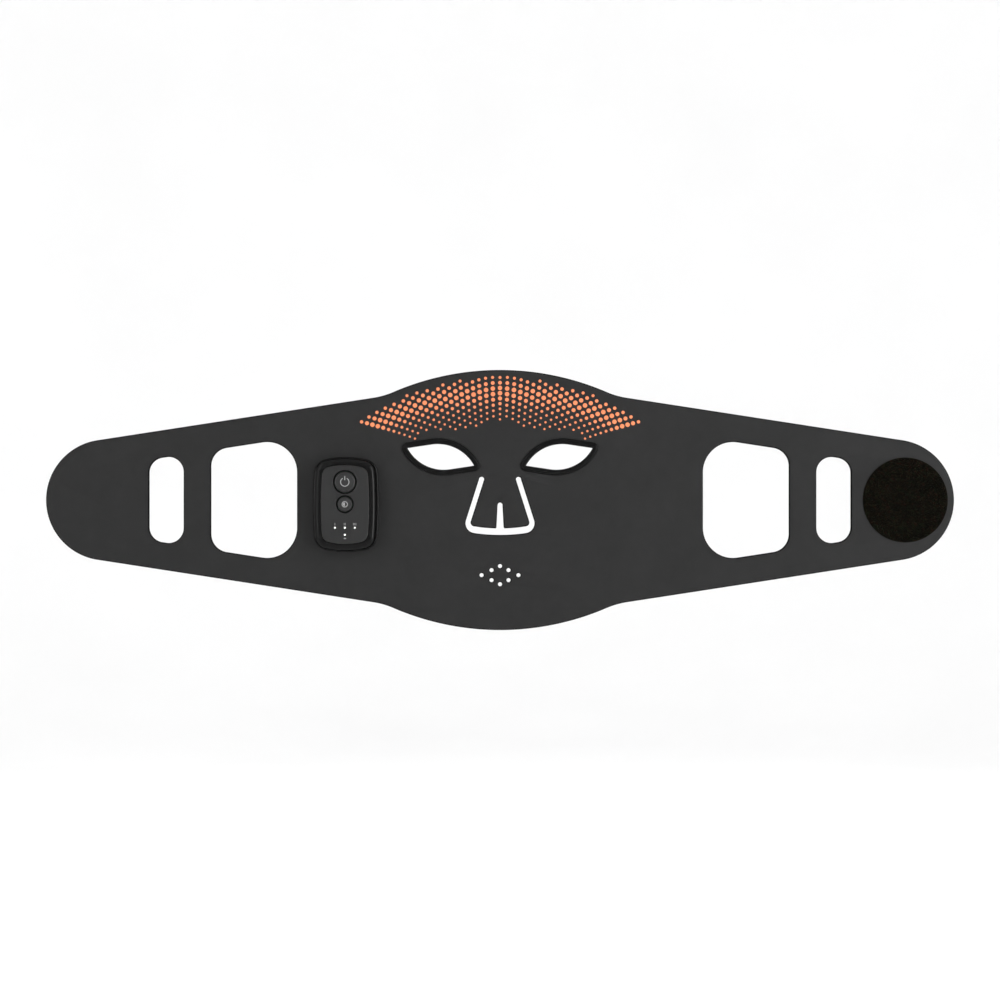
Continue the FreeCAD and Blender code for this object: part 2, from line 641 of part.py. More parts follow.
def switches():
    """Two flat tactile switches, each open in the middle for its plunger."""
    solids = []
    for v in (POWER_V, MODE_V):
        body = extrude(centred_rectangle(SWITCH_SIDE, SWITCH_SIDE, 0, v), BOARD_TOP_W, SWITCH_TOP_W)
        well = extrude(disc(0, v, PLUNGER_RADIUS + CLEARANCE), BOARD_TOP_W, SWITCH_TOP_W + BEYOND)
        solids.append(body.cut(well))
    return solids


def control_board():
    board = extrude(board_outline(), BOARD_W, BOARD_TOP_W)
    radius = BOARD_SCREW_RADIUS + CLEARANCE
    holes = [
        extrude(disc(u, v, radius), BOARD_W - BEYOND, BOARD_TOP_W + BEYOND)
        for u, v in board_screw_places()
    ]
    return board.cut(holes)


def screws(places, seat, tip, radius, head_radius, head_height):
    """Screws whose heads sit on seat and whose shanks reach back to tip."""
    solids = []
    for u, v in places:
        shank = extrude(disc(u, v, radius), tip, seat)
        head = extrude(disc(u, v, head_radius), seat, seat + head_height)
        solids.append(shank.fuse(head).removeSplitter())
    return solids


def board_screws():
    tip = FLOOR_W + UNIT_WALL / 3
    size = (BOARD_SCREW_RADIUS, BOARD_HEAD_RADIUS, BOARD_HEAD_HEIGHT)
    return screws(board_screw_places(), BOARD_TOP_W, tip, *size)


def mount_screws():
    size = (MOUNT_SCREW_RADIUS, MOUNT_HEAD_RADIUS, MOUNT_HEAD_HEIGHT)
    return screws(mount_screw_places(), FLOOR_W, BACKING_W, *size)


def backing_outline():
    width = 2 * (MOUNT_SCREW_U + BACKING_MARGIN_U)
    height = 2 * (MOUNT_SCREW_V + BACKING_MARGIN_V)
    return rounded_rectangle(width, height, BACKING_CORNER)


def backing_plate():
    plate = extrude(backing_outline(), BACKING_W, BACKING_TOP_W)
    return plate.cut(mount_holes(0, FRONT_W, 0) + [ribbon_slot(0, FRONT_W)])


def battery():
    boss_v = max(v for u, v in board_screw_places())
    top = boss_v - BOSS_RADIUS - BATTERY_BOSS_GAP
    cell = centred_rectangle(BATTERY_WIDTH, BATTERY_HEIGHT, 0, top - BATTERY_HEIGHT / 2)
    block = extrude(cell, FLOOR_W, FLOOR_W + BATTERY_THICKNESS)
    return block.makeFillet(BATTERY_THICKNESS / 3, upright_edges(block))


def ribbon():
    strip = centred_rectangle(RIBBON_WIDTH, FLEX_THICKNESS, 0, RIBBON_V)
    return extrude(strip, REAR_SKIN + FLEX_THICKNESS, BOARD_W - CONNECTOR_HEIGHT)


def ribbon_connector():
    outline = centred_rectangle(CONNECTOR_WIDTH, CONNECTOR_DEPTH, 0, RIBBON_V)
    return extrude(outline, BOARD_W - CONNECTOR_HEIGHT, BOARD_W)


def driver_chip():
    chip = centred_rectangle(CHIP_SIDE, CHIP_SIDE, 0, (MODE_V + LEVELS_V) / 2)
    return extrude(chip, BOARD_TOP_W, BOARD_TOP_W + CHIP_HEIGHT)


def signal_leds():
    squares = [centred_rectangle(SIGNAL_SIDE, SIGNAL_SIDE, u, v) for u, v in light_places()]
    return [extrude(square, BOARD_TOP_W, BOARD_TOP_W + SIGNAL_HEIGHT) for square in squares]


def usb_socket():
    """Metal shell, closed at the back, with the contact tongue inside."""
    mouth, middle = usb_mouth_v(), usb_middle_w()
    shell = along_v(stadium(USB_WIDTH, USB_HEIGHT), mouth, USB_DEPTH, middle)
    inner = stadium(USB_WIDTH - 2 * USB_WALL, USB_HEIGHT - 2 * USB_WALL)
    hollow = along_v(inner, mouth - BEYOND, USB_DEPTH + BEYOND - USB_WALL, middle)
    tongue = centred_rectangle(USB_TONGUE_WIDTH, USB_TONGUE_THICKNESS)
    tongue_mouth = mouth + USB_DEPTH - USB_WALL - USB_TONGUE_LENGTH
    return shell.cut(hollow).fuse(along_v(tongue, tongue_mouth, USB_TONGUE_LENGTH, middle))


def unit_nodes():
    solids = {
        "unit_base": unit_base(),
        "unit_face_plate": face_plate(),
        "unit_plate_tape": plate_tape(),
        "unit_light_guide": light_guide(),
        "unit_backing_plate": backing_plate(),
        "unit_mounting_screws": mount_screws(),
        "control_board": control_board(),
        "control_board_screws": board_screws(),
        "tactile_switches": switches(),
        "driver_chip": driver_chip(),
        "signal_leds": signal_leds(),
        "battery": battery(),
        "charging_socket": usb_socket(),
        "ribbon_cable": ribbon(),
        "ribbon_connector": ribbon_connector(),
        "power_button": button(POWER_V, POWER_RADIUS),
        "power_switch_plunger": switch_plunger(POWER_V),
        "mode_button": button(MODE_V, MODE_RADIUS),
        "mode_switch_plunger": switch_plunger(MODE_V),
    }
    placed = {}
    for name, shape in solids.items():
        whole = Part.Compound(shape) if isinstance(shape, list) else shape
        placed[name] = moved(whole, UNIT_U, UNIT_V)
    return placed


def unit_cuts_in_skin():
    """Backing plate's pocket, screw holes and ribbon slot under the control unit."""
    pocket = extrude(grown(backing_outline(), CLEARANCE), REAR_SKIN, BACKING_TOP_W + POCKET_AIR)
    cuts = [pocket, ribbon_slot(REAR_SKIN, FRONT_W + BEYOND)]
    cuts += mount_holes(REAR_SKIN, FRONT_W + BEYOND, CLEARANCE)
    return [moved(cut, UNIT_U, UNIT_V) for cut in cuts]


# ================================================================ all the nodes
def lit_segment_nodes(segment, outline, flex, places):
    """Skins, flexible circuit, diodes and lenses of one segment of the face."""
    eyes = [eye_opening(side) for side in (-1, 1)]
    own = [place for place in places if in_segment(segment, place)]
    holes = [nose_opening()] + mouth_holes()
    front = outline.common(band(segment))
    front = front.cut(holes + [grown(eye, RIM_WALL + CLEARANCE) for eye in eyes])
    circuit = flex.common(band(segment))
    skin = extrude(front, REAR_SKIN, FRONT_W)
    skin = skin.cut(extrude(circuit, REAR_SKIN, REAR_SKIN + FLEX_THICKNESS + POCKET_AIR))
    if segment == "left_cheek":
        skin = skin.cut(unit_cuts_in_skin())
    rear = outline.common(band(segment))
    rear = rear.common(centred_rectangle(2 * REAR_SKIN_END, 4 * HALF_HEIGHT))
    windows = [disc(u, v, LENS_RADIUS + CLEARANCE) for u, v, row in own]
    rims = [grown(eye, RIM_REAR_WIDTH + CLEARANCE) for eye in eyes]
    rear = rear.cut(holes + rims + windows)
    red = [place for place in own if place[2] % 2 == 0]
    infrared = [place for place in own if place[2] % 2 == 1]
    return {
        segment + "_outer_skin": skin,
        segment + "_inner_skin": extrude(rear, 0, REAR_SKIN),
        segment + "_flex_circuit": extrude(circuit, REAR_SKIN, REAR_SKIN + FLEX_THICKNESS),
        segment + "_red_leds": Part.Compound(led_solids(red)),
        segment + "_infrared_leds": Part.Compound(led_solids(infrared)),
        segment + "_led_lenses": Part.Compound(lens_solids(own)),
    }


def ear_band(name, side, outline):
    return extrude(outline.common(band(name)).cut(ear_opening(side)), 0, FRONT_W)


def strap_end(name, side, outline):
    """Strap end; the left one is recessed at the back for the loop disc."""
    strap = extrude(outline.common(band(name)).cut(slot_opening(side)), 0, FRONT_W)
    if side < 0:
        strap = strap.cut(extrude(disc(-DISC_U, 0, DISC_RADIUS), 0, LOOP_THICKNESS))
    return strap


def nose_flap_nodes():
    outline = nose_flap_outline()
    return {
        "nose_flap_outer_skin": extrude(outline, REAR_SKIN, FRONT_W),
        "nose_flap_inner_skin": extrude(outline, 0, REAR_SKIN),
    }


def all_nodes():
    outline = sheet_outline()
    flex = flex_outline()
    places = led_places(flex)
    nodes = {}
    for segment in LIT_SEGMENTS:
        nodes.update(lit_segment_nodes(segment, outline, flex, places))
    for side, name in ((-1, "left"), (1, "right")):
        nodes[name + "_eye_rim"] = eye_rim(side)
        nodes[name + "_ear_band"] = ear_band(name + "_ear_band", side, outline)
        nodes[name + "_strap_end"] = strap_end(name + "_tail", side, outline)
    nodes["hook_disc"] = extrude(disc(DISC_U, 0, DISC_RADIUS), FRONT_W, FRONT_W + HOOK_THICKNESS)
    nodes["loop_disc"] = extrude(disc(-DISC_U, 0, DISC_RADIUS), 0, LOOP_THICKNESS)
    nodes.update(nose_flap_nodes())
    nodes.update(unit_nodes())
    return nodes


def stand_up(shape):
    """From the flat drawing to the worn position."""
    copy = shape.copy()
    copy.rotate(point(0, 0), Vec(1, 0, 0), 90)
    copy.translate(Vec(0, 0, -EYE_V))
    return copy


def main():
    os.makedirs("parts", exist_ok=True)
    for name, shape in all_nodes().items():
        solids = stand_up(shape).Solids
        whole = solids[0] if len(solids) == 1 else Part.Compound(solids)
        whole.exportStep("parts/" + name + ".step")
        box = whole.BoundBox
        print(
            f"{name:30s} solids {len(solids):3d} valid {whole.isValid()} volume {whole.Volume:9.1f}"
            f" X {box.XMin:.1f}..{box.XMax:.1f} Y {box.YMin:.2f}..{box.YMax:.2f}"
            f" Z {box.ZMin:.1f}..{box.ZMax:.1f}"
        )


main()
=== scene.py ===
"""Flexible LED face mask: its looks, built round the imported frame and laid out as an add-on.

Outlines are drawn flat, as the mask would lie on a table: U runs along the straps, V up the face
and W out of the front. place() stands them up as worn. All lengths are in metres.
"""

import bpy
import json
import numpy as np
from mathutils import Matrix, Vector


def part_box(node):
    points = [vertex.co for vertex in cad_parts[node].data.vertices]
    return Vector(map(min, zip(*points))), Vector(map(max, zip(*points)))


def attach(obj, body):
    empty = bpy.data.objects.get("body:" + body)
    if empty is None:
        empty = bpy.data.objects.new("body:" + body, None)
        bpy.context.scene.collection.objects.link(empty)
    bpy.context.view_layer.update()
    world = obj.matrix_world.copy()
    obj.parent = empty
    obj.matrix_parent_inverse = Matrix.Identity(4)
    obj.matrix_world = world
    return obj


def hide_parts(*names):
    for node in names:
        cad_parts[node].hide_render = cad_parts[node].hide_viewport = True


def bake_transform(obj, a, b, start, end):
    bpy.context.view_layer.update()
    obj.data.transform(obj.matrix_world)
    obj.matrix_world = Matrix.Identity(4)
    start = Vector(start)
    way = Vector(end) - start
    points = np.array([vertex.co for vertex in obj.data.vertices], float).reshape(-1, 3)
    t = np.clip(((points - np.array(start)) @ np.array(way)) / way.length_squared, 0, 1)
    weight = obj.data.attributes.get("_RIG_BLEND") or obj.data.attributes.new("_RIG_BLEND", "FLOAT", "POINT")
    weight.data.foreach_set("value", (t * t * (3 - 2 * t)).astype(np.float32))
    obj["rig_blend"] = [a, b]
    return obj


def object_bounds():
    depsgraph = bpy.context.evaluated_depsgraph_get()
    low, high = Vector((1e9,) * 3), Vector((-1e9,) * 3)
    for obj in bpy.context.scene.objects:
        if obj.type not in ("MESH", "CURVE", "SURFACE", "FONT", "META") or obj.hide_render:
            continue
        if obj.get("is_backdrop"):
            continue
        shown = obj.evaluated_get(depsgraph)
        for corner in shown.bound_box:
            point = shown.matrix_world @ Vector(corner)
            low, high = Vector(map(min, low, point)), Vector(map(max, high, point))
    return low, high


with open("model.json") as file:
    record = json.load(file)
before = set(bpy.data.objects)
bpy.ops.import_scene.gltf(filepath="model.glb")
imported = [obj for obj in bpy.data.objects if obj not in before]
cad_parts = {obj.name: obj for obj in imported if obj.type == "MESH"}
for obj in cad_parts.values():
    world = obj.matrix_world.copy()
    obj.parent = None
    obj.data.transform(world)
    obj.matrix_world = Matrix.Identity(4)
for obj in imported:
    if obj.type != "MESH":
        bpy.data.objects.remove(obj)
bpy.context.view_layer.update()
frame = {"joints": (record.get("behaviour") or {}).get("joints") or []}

import json
import math

import bmesh
import bpy
from mathutils import Vector

bl_info = {
    "name": "LED Face Mask",
    "version": (1, 0, 0),
    "blender": (4, 5, 0),
    "location": "3D View > Sidebar > Mask",
    "description": "Builds a flexible LED face mask with its control unit and a studio",
    "category": "Add Mesh",
}

MM = 0.001
ARC_STEP = 0.8 * MM          # longest chord along a drawn arc
ARC_TURN = math.radians(7)   # largest turn between neighbouring points of an arc
FACE_Y = 0.0                 # the wearing side
MERGE = 1e-6
FOLD_ABOVE = 0.9 * MM        # nose flap's fold above the middle of its slits' round ends
# Edge faces of the skins get a far darker copy of the silicone: painted shade along every rounded edge and
# hole wall.
EDGE_FACING = 0.97           # a face less turned to the front than this is part of an edge
BEAD = (                     # an eye rim's bead, as shares of its width and height
    (1.0, 0.0), (1.0, 0.25), (0.94, 0.5357), (0.8, 0.7857), (0.6, 0.9643),
    (0.42, 1.0), (0.24, 0.9429), (0.09, 0.7143), (0.0, 0.3571),
)
CASING_FOOT = (              # the casing's foot and the step above it: inset and height, in millimetres
    (0.5, 0.0), (0.12, 0.12), (0.0, 0.5), (0.0, 3.6), (0.12, 3.95), (0.55, 4.15), (0.7, 4.45),
)
DISH_REACH = 0.8             # share of a button's radius that is dished
SEGMENTS = ("left_cheek", "centre", "right_cheek")   # the lit parts of the sheet
SIDES = ((-1, "left"), (1, "right"))


def mm(name, description, value):
    """A length setting whose default is given in millimetres."""
    return bpy.props.FloatProperty(
        name=name, description=description, default=value * MM, unit="LENGTH", subtype="DISTANCE"
    )


def number(name, description, value, unit="NONE"):
    return bpy.props.FloatProperty(name=name, description=description, default=value, unit=unit)


def shade(name, description, value):
    """A colour setting, as reflected or emitted light."""
    return bpy.props.FloatVectorProperty(
        name=name, description=description, default=value, size=3, min=0.0, max=1.0, subtype="COLOR"
    )


def grey(level):
    return (level, level, level)


class SheetSizes(bpy.types.PropertyGroup):
    eye_u: mm("Eye across", "Middle line to an eye opening's centre", 39.2)
    eye_v: mm("Eye up", "Strap centre line to the eye openings' centre", 28.5)
    eye_half: mm("Eye half length", "Eye opening's centre to a corner", 22.0)
    eye_rise: mm("Eye corner rise", "Outer corner above the centre", 5.8)
    brow_u: mm("Brow across", "Where the straight brow meets the curve", 6.0)
    brow_v: mm("Brow up", "Height of that point", 8.2)
    curve_u: mm("Curve across", "A point on the curved edge", 10.4)
    curve_v: mm("Curve up", "Height of that point", 5.5)
    rim_wall: mm("Rim neck", "Rim's neck in the skins", 1.25)
    rim_width: mm("Rim width", "Bead on the front", 3.8)
    rim_height: mm("Rim height", "Bead above the skin", 1.4)
    rim_rear: mm("Rim rear flange", "Flange let into the inner skin", 3.0)
    tip_radius: mm("Tip radius", "Round end of a strap", 40.0)
    taper: number("Taper", "Slope of a strap's long edges", math.radians(8.75), "ROTATION")
    crown_radius: mm("Crown radius", "Forehead and chin arcs", 178.0)
    hollow_radius: mm("Hollow radius", "Arc between crown and strap", 55.0)
    rail: mm("Rail", "Sheet left above and below a strap opening", 18.0)
    ear_inset: mm("Ear inset", "Temple bend to the ear window", 5.9)
    ear_length: mm("Ear length", "Ear window along the strap", 56.9)
    ear_inner: mm("Ear inner corner", "Corner radius towards the face", 20.0)
    ear_outer: mm("Ear outer corner", "Corner radius towards the tip", 12.0)
    slot_inset: mm("Slot inset", "Nape bend to the strap slot", 8.6)
    slot_width: mm("Slot width", "Strap slot along the strap", 22.8)
    slot_corner: mm("Slot corner", "Corner radius of a strap slot", 10.0)
    nose_top: mm("Nose fold", "Height of the nose flap's fold", 13.6)
    nose_slit: mm("Nose slit", "Width of the slanted slits", 3.4)
    nose_half: mm("Nose half", "Middle line to a slit's round end", 12.2)
    nose_spread: number("Nose spread", "Sideways run of a slit for each unit down", 0.319)
    nose_outer_v: mm("Nose outer corner", "Height of the opening's lower corners", -20.6)
    nose_outer_sag: mm("Nose outer sag", "Bulge of the opening's lower edge", 2.5)
    nose_outer_corner: mm("Nose outer radius", "Radius of those corners", 6.5)
    nose_inner_v: mm("Nose inner corner", "Height of the flap's lower corners", -17.0)
    nose_inner_sag: mm("Nose inner sag", "Bulge of the flap's lower edge", 1.8)
    nose_inner_corner: mm("Nose inner radius", "Radius of those corners", 2.6)
    lip_top_v: mm("Lip slit top", "Height of the flap's own slit", -1.7)
    lip_top: mm("Lip slit width", "Width of that slit at its top", 3.2)
    lip_bottom: mm("Lip slit foot", "Width of that slit at its foot", 4.8)
    mouth_v: mm("Mouth", "Height of the mouth holes' centre", -49.7)
    mouth_hole: mm("Mouth hole", "Radius of a mouth hole", 1.35)
    mouth_reach_u: mm("Mouth reach across", "Outermost mouth hole", 12.2)
    mouth_reach_v: mm("Mouth reach up", "Top mouth hole", 6.0)
    mouth_step_u: mm("Mouth step across", "Holes between them", 5.6)
    mouth_step_v: mm("Mouth step up", "Holes between them", 3.3)
    inner_depth: mm("Inner skin", "Thickness of the inner skin", 1.0)
    front_depth: mm("Sheet", "Thickness of both skins", 3.2)
    outer_edge: mm("Outer edge", "Rounding of the outer skin's edges", 1.0)
    inner_edge: mm("Inner edge", "Rounding of the inner skin's edges", 0.28)
    middle_seam: mm("Middle seam", "Seam of the skins beside the middle line", 4.15)
    cheek_seam: mm("Cheek seam", "Seam of the skins across a cheek", 95.5)
    ear_seam: mm("Ear seam", "Seam of the skins beside an ear window", 163.0)
    bend_before: mm("Bend start", "Bend zone before a bend line", 2.1)
    bend_after: mm("Bend end", "Bend zone beyond a bend line", 12.2)
    temple_before: mm("Temple bend start", "Bend zone before the temple's bend line", 3.8)
    nape_before: mm("Nape bend start", "Bend zone before the nape's bend line", 6.6)
    nape_after: mm("Nape bend end", "Bend zone beyond the nape's bend line", 7.4)
    bend_cut: mm("Bend cut", "Distance between cuts in a bend zone", 1.15)
    fold_reach: mm("Fold reach", "Flap's bending length below its fold", 6.0)
    lens_radius: mm("Lens radius", "Clear lens over a diode", 2.5)


class PrintSizes(bpy.types.PropertyGroup):
    top_v: mm("Print top", "Height of the highest dot", 81.0)
    arch_radius: mm("Arch radius", "Radius of the print's top edge", 166.0)
    dot_pitch: mm("Dot pitch", "Distance of the dots up the middle column", 3.46)
    pitch_growth: mm("Pitch growth", "Extra distance far out", 1.15)
    growth_reach: mm("Growth reach", "Distance over which that extra comes in", 30.0)
    column_pitch: mm("Column pitch", "Distance of the columns far out", 3.65)
    column_extra: mm("Column extra", "Extra distance at the middle", 1.25)
    column_reach: mm("Column reach", "Middle line to the last column", 112.0)
    dot_small: mm("Small dot", "Radius of the smallest dots", 0.72)
    dot_swell: mm("Dot swell", "Extra radius of the largest dots", 0.8)
    swell_depth: mm("Swell depth", "Depth of the largest dots below the edge", 9.5)
    swell_reach: mm("Swell reach", "Spread of the large dots", 9.0)
    rise: number("Rise", "Slope of the rising lines at the middle", 0.76)
    rise_fall: number("Rise fall", "How fast that slope falls off, for each metre", 2.6)
    lean: number("Lean", "How much the columns lean, for each metre of depth", 4.5)
    edge_slack: mm("Edge slack", "How far a dot may pass the top edge", 0.2)
    foot_v: mm("Foot", "Height of the lower edge at the middle", 53.3)
    foot_drop: mm("Foot drop", "Fall of the lower edge over its rounded part", 7.3)
    foot_round: mm("Foot round", "Reach of that rounded part", 20.0)
    foot_level: mm("Foot level", "Where the lower edge begins to slope", 47.0)
    foot_slope: number("Foot slope", "Slope of the lower edge beyond", 0.62)
    ink: mm("Ink", "Thickness of the printed ink", 0.04)
    side_lines: bpy.props.IntProperty(name="Lines", description="Rising lines of dots", default=18)


class UnitSizes(bpy.types.PropertyGroup):
    width: mm("Width", "Casing across", 43.4)
    height: mm("Height", "Casing up", 62.6)
    side_bulge: mm("Side bulge", "Bow of the casing's long sides", 1.4)
    end_bulge: mm("End bulge", "Bow of the casing's ends", 3.2)
    corner: mm("Corner", "Casing's corner radius", 9.5)
    plate_width: mm("Plate width", "Face plate across", 31.6)
    plate_height: mm("Plate height", "Face plate up", 51.6)
    plate_side_bulge: mm("Plate side bulge", "Bow of the plate's long sides", 1.0)
    plate_end_bulge: mm("Plate end bulge", "Bow of the plate's ends", 2.4)
    plate_corner: mm("Plate corner", "Plate's corner radius", 6.0)
    plate_edge: mm("Plate edge", "Rounding of the plate's edge", 0.45)
    crown: mm("Crown", "Plate's middle above its long edges", 0.9)
    depth: mm("Depth", "Skin to the shoulder's top", 11.0)
    proud: mm("Proud", "Plate's middle above the shoulder", 0.9)
    power_v: mm("Power button", "Height of the power button", 14.8)
    mode_v: mm("Mode button", "Height of the mode button", 0.2)
    power_radius: mm("Power radius", "Power button's cap", 6.9)
    mode_radius: mm("Mode radius", "Mode button's cap", 4.9)
    button_ring: mm("Button ring", "Cap's edge to the plate, ring included", 0.95)
    button_gap: mm("Button gap", "Slit round a button", 0.3)
    button_proud: mm("Button proud", "Button's edge above the plate", 0.35)
    dish: mm("Dish", "Hollow of a button's face", 0.35)
    levels_v: mm("Level lights", "Height of the three level lights", -15.2)
    level_step: mm("Level step", "Distance between level lights", 6.5)
    charge_step: mm("Charge step", "Level lights to the charge light", 4.6)
    pipe: mm("Light pipe", "Radius of a light pipe", 0.52)
    ink: mm("Ink", "Thickness of printed marks", 0.05)


class Colours(bpy.types.PropertyGroup):
    # The skins' edge faces take a far darker share of this colour: painted shade on the rounded edges.
    skin: shade("Skin", "Outer silicone; the inner skin and the edges follow it", grey(0.0135))
    rim: shade("Rim", "Glossy rims round the eye openings", grey(0.0022))
    casing: shade("Casing", "Control unit's casing", grey(0.0012))
    plate: shade("Plate", "Control unit's face plate", grey(0.0105))
    cap: shade("Buttons", "Caps of both buttons", grey(0.012))
    print_ink: shade("Print", "Dots on the forehead", (0.73, 0.225, 0.1))
    mark: shade("Marks", "Symbols on the buttons", grey(0.3))
    faint_mark: shade("Faint marks", "Marks by the lights", grey(0.26))
    light: shade("Light", "Level lights and charge light", (1.0, 0.98, 0.95))


class StageSizes(bpy.types.PropertyGroup):
    drop: mm("Drop", "Floor below the eyes", 420.0)
    radius: mm("Radius", "Studio's radius", 3400.0)
    bend: mm("Bend", "Radius between floor and wall", 1200.0)
    wall: mm("Wall", "Wall's height", 3600.0)
    distance: mm("Distance", "Camera to the mask", 1556.0)
    lens: number("Lens", "Focal length in millimetres", 85.0)
    ambient: number("Ambient", "Strength of the surrounding light", 1.1)
    key: number("Key", "Key light", 5.0, "POWER")
    fill: number("Fill", "Fill light", 15.0, "POWER")
    back: number("Back", "Light behind the mask", 6.0, "POWER")


# ---------------------------------------------------------------- places read from the frame
def joint_place(name):
    """A joint's position in the frame."""
    return Vector(next(j for j in frame["joints"] if j["name"] == name)["pos_m"])


def bend_line(name):
    """Distance of a bend line from the middle of the face."""
    return abs(joint_place(name + "_bend").x)


def half_length():
    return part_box("right_strap_end")[1].x


def half_height():
    low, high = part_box("centre_outer_skin")
    return (high.z - low.z) / 2


def unit_centre():
    low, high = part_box("unit_base")
    s = bpy.context.scene.mask_sheet
    return (low.x + high.x) / 2, (low.z + high.z) / 2 + s.eye_v


def disc_place(node):
    """Centre and radius of a fastening disc, in U and V."""
    low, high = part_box(node)
    s = bpy.context.scene.mask_sheet
    return (low.x + high.x) / 2, (low.z + high.z) / 2 + s.eye_v, (high.x - low.x) / 2


def place(u, v, w):
    """A point of the flat drawing, stood up as the mask is worn."""
    return Vector((u, FACE_Y - w, v - bpy.context.scene.mask_sheet.eye_v))


# ---------------------------------------------------------------- flat outlines, as lists of (u, v)
def arc_points(centre, radius, start, end):
    """Points along an arc, both ends included; angles in radians."""
    sweep = abs(end - start)
    count = max(2, math.ceil(sweep * radius / ARC_STEP), math.ceil(sweep / ARC_TURN))
    angles = [start + (end - start) * i / count for i in range(count + 1)]
    return [(centre[0] + radius * math.cos(a), centre[1] + radius * math.sin(a)) for a in angles]


def circle(u, v, radius):
    return arc_points((u, v), radius, 0, 2 * math.pi)[:-1]


def turns(count):
    """Angles of equal steps round a circle."""
    return [2 * math.pi * k / count for k in range(count)]


def arc_through(start, middle, end):
    """Centre and radius of the circle through three points."""
    ax, ay = start
    bx, by = middle
    cx, cy = end
    d = 2 * (ax * (by - cy) + bx * (cy - ay) + cx * (ay - by))
    a2, b2, c2 = ax * ax + ay * ay, bx * bx + by * by, cx * cx + cy * cy
    ux = (a2 * (by - cy) + b2 * (cy - ay) + c2 * (ay - by)) / d
    uy = (a2 * (cx - bx) + b2 * (ax - cx) + c2 * (bx - ax)) / d
    return (ux, uy), math.hypot(ax - ux, ay - uy)


def rounded_path(corners):
    """A closed path through (point, radius) pairs; a corner with a radius becomes an arc."""
    path = []
    count = len(corners)
    for i, (corner, radius) in enumerate(corners):
        if radius <= 0:
            path.append(corner)
            continue
        here = Vector(corner)
        before = (Vector(corners[i - 1][0]) - here).normalized()
        after = (Vector(corners[(i + 1) % count][0]) - here).normalized()
        half = before.angle(after) / 2
        centre = here + (before + after).normalized() * (radius / math.sin(half))
        first = here + before * (radius / math.tan(half)) - centre
        last = here + after * (radius / math.tan(half)) - centre
        start = math.atan2(first.y, first.x)
        turn = first.angle_signed(last)
        path += arc_points(tuple(centre), radius, start, start - turn)
    return path


def clean(path):
    """The path without points that fall on their neighbour."""
    return [p for i, p in enumerate(path) if math.dist(p, path[i - 1]) > MERGE]


def sheet_rim():
    """The whole sheet's outline: crown arc, hollow arc, straight strap edge, round tip."""
    s = bpy.context.scene.mask_sheet
    tip = Vector((half_length() - s.tip_radius, 0))
    crown = Vector((0, half_height() - s.crown_radius))
    normal = Vector((math.sin(s.taper), math.cos(s.taper)))
    along = Vector((-math.cos(s.taper), math.sin(s.taper)))
    base = tip + normal * (s.tip_radius + s.hollow_radius)
    offset = base - crown
    reach = s.crown_radius + s.hollow_radius
    half_b = offset.dot(along)
    hollow = base + along * (-half_b - math.sqrt(half_b**2 - offset.dot(offset) + reach**2))
    toward = hollow - crown
    crown_end = math.atan2(toward.y, toward.x)
    line_angle = math.atan2(normal.y, normal.x)
    quarter = arc_points(tuple(crown), s.crown_radius, math.pi / 2, crown_end)
    quarter += arc_points(tuple(hollow), s.hollow_radius, crown_end - math.pi, line_angle - math.pi)
    quarter += arc_points(tuple(tip), s.tip_radius, line_angle, 0)
    right = quarter + [(u, -v) for u, v in reversed(quarter)]
    return clean(right + [(-u, v) for u, v in reversed(right)])


def strap_opening(side, inner, outer, inner_corner, outer_corner):
    """Opening whose long edges run parallel to the strap's."""
    s = bpy.context.scene.mask_sheet
    tip_u = half_length() - s.tip_radius

    def edge_v(u):
        return (s.tip_radius - s.rail - (u - tip_u) * math.sin(s.taper)) / math.cos(s.taper)

    corners = [
        ((side * inner, -edge_v(inner)), inner_corner),
        ((side * outer, -edge_v(outer)), outer_corner),
        ((side * outer, edge_v(outer)), outer_corner),
        ((side * inner, edge_v(inner)), inner_corner),
    ]
    return clean(rounded_path(corners))


def strap_openings():
    s = bpy.context.scene.mask_sheet
    ear_in = bend_line("right_temple") + s.ear_inset
    slot_in = bend_line("right_nape") + s.slot_inset
    found = []
    for side in (-1, 1):
        found.append(strap_opening(side, ear_in, ear_in + s.ear_length, s.ear_inner, s.ear_outer))
        slot_out = slot_in + s.slot_width
        found.append(strap_opening(side, slot_in, slot_out, s.slot_corner, s.slot_corner))
    return found


def eye_leaf(side):
    """An eye opening as (point, outward normal) pairs; a sharp corner fans out its normals."""
    s = bpy.context.scene.mask_sheet
    corner, meet = (-s.eye_half, s.eye_rise), (-s.brow_u, s.brow_v)
    far = (s.eye_half, -s.eye_rise)
    centre, radius = arc_through(meet, (s.curve_u, s.curve_v), far)
    start = math.atan2(meet[1] - centre[1], meet[0] - centre[0])
    end = math.atan2(far[1] - centre[1], far[0] - centre[0])
    steps = 10
    brow = [
        (corner[0] + (meet[0] - corner[0]) * i / steps, corner[1] + (meet[1] - corner[1]) * i / steps)
        for i in range(steps)
    ]
    upper = brow + arc_points(centre, radius, start, end)[:-1]
    leaf = upper + [(-u, -v) for u, v in upper]
    pairs = []
    for i, point in enumerate(leaf):
        before = Vector(point) - Vector(leaf[i - 1])
        after = Vector(leaf[(i + 1) % len(leaf)]) - Vector(point)
        first = math.atan2(before.x, -before.y)
        turn = before.angle_signed(after)
        fan = max(1, math.ceil(abs(turn) / ARC_TURN)) if abs(turn) > 2 * ARC_TURN else 0
        for step in range(fan + 1):
            share = step / fan if fan else 0.5
            angle = first - turn * share
            pairs.append((point, (math.cos(angle), math.sin(angle))))
    if side > 0:
        pairs = [((-p[0], p[1]), (-n[0], n[1])) for p, n in reversed(pairs)]
    return [((p[0] + side * s.eye_u, p[1] + s.eye_v), n) for p, n in pairs]


def grown_eye(side, distance):
    return clean([(p[0] + n[0] * distance, p[1] + n[1] * distance) for p, n in eye_leaf(side)])


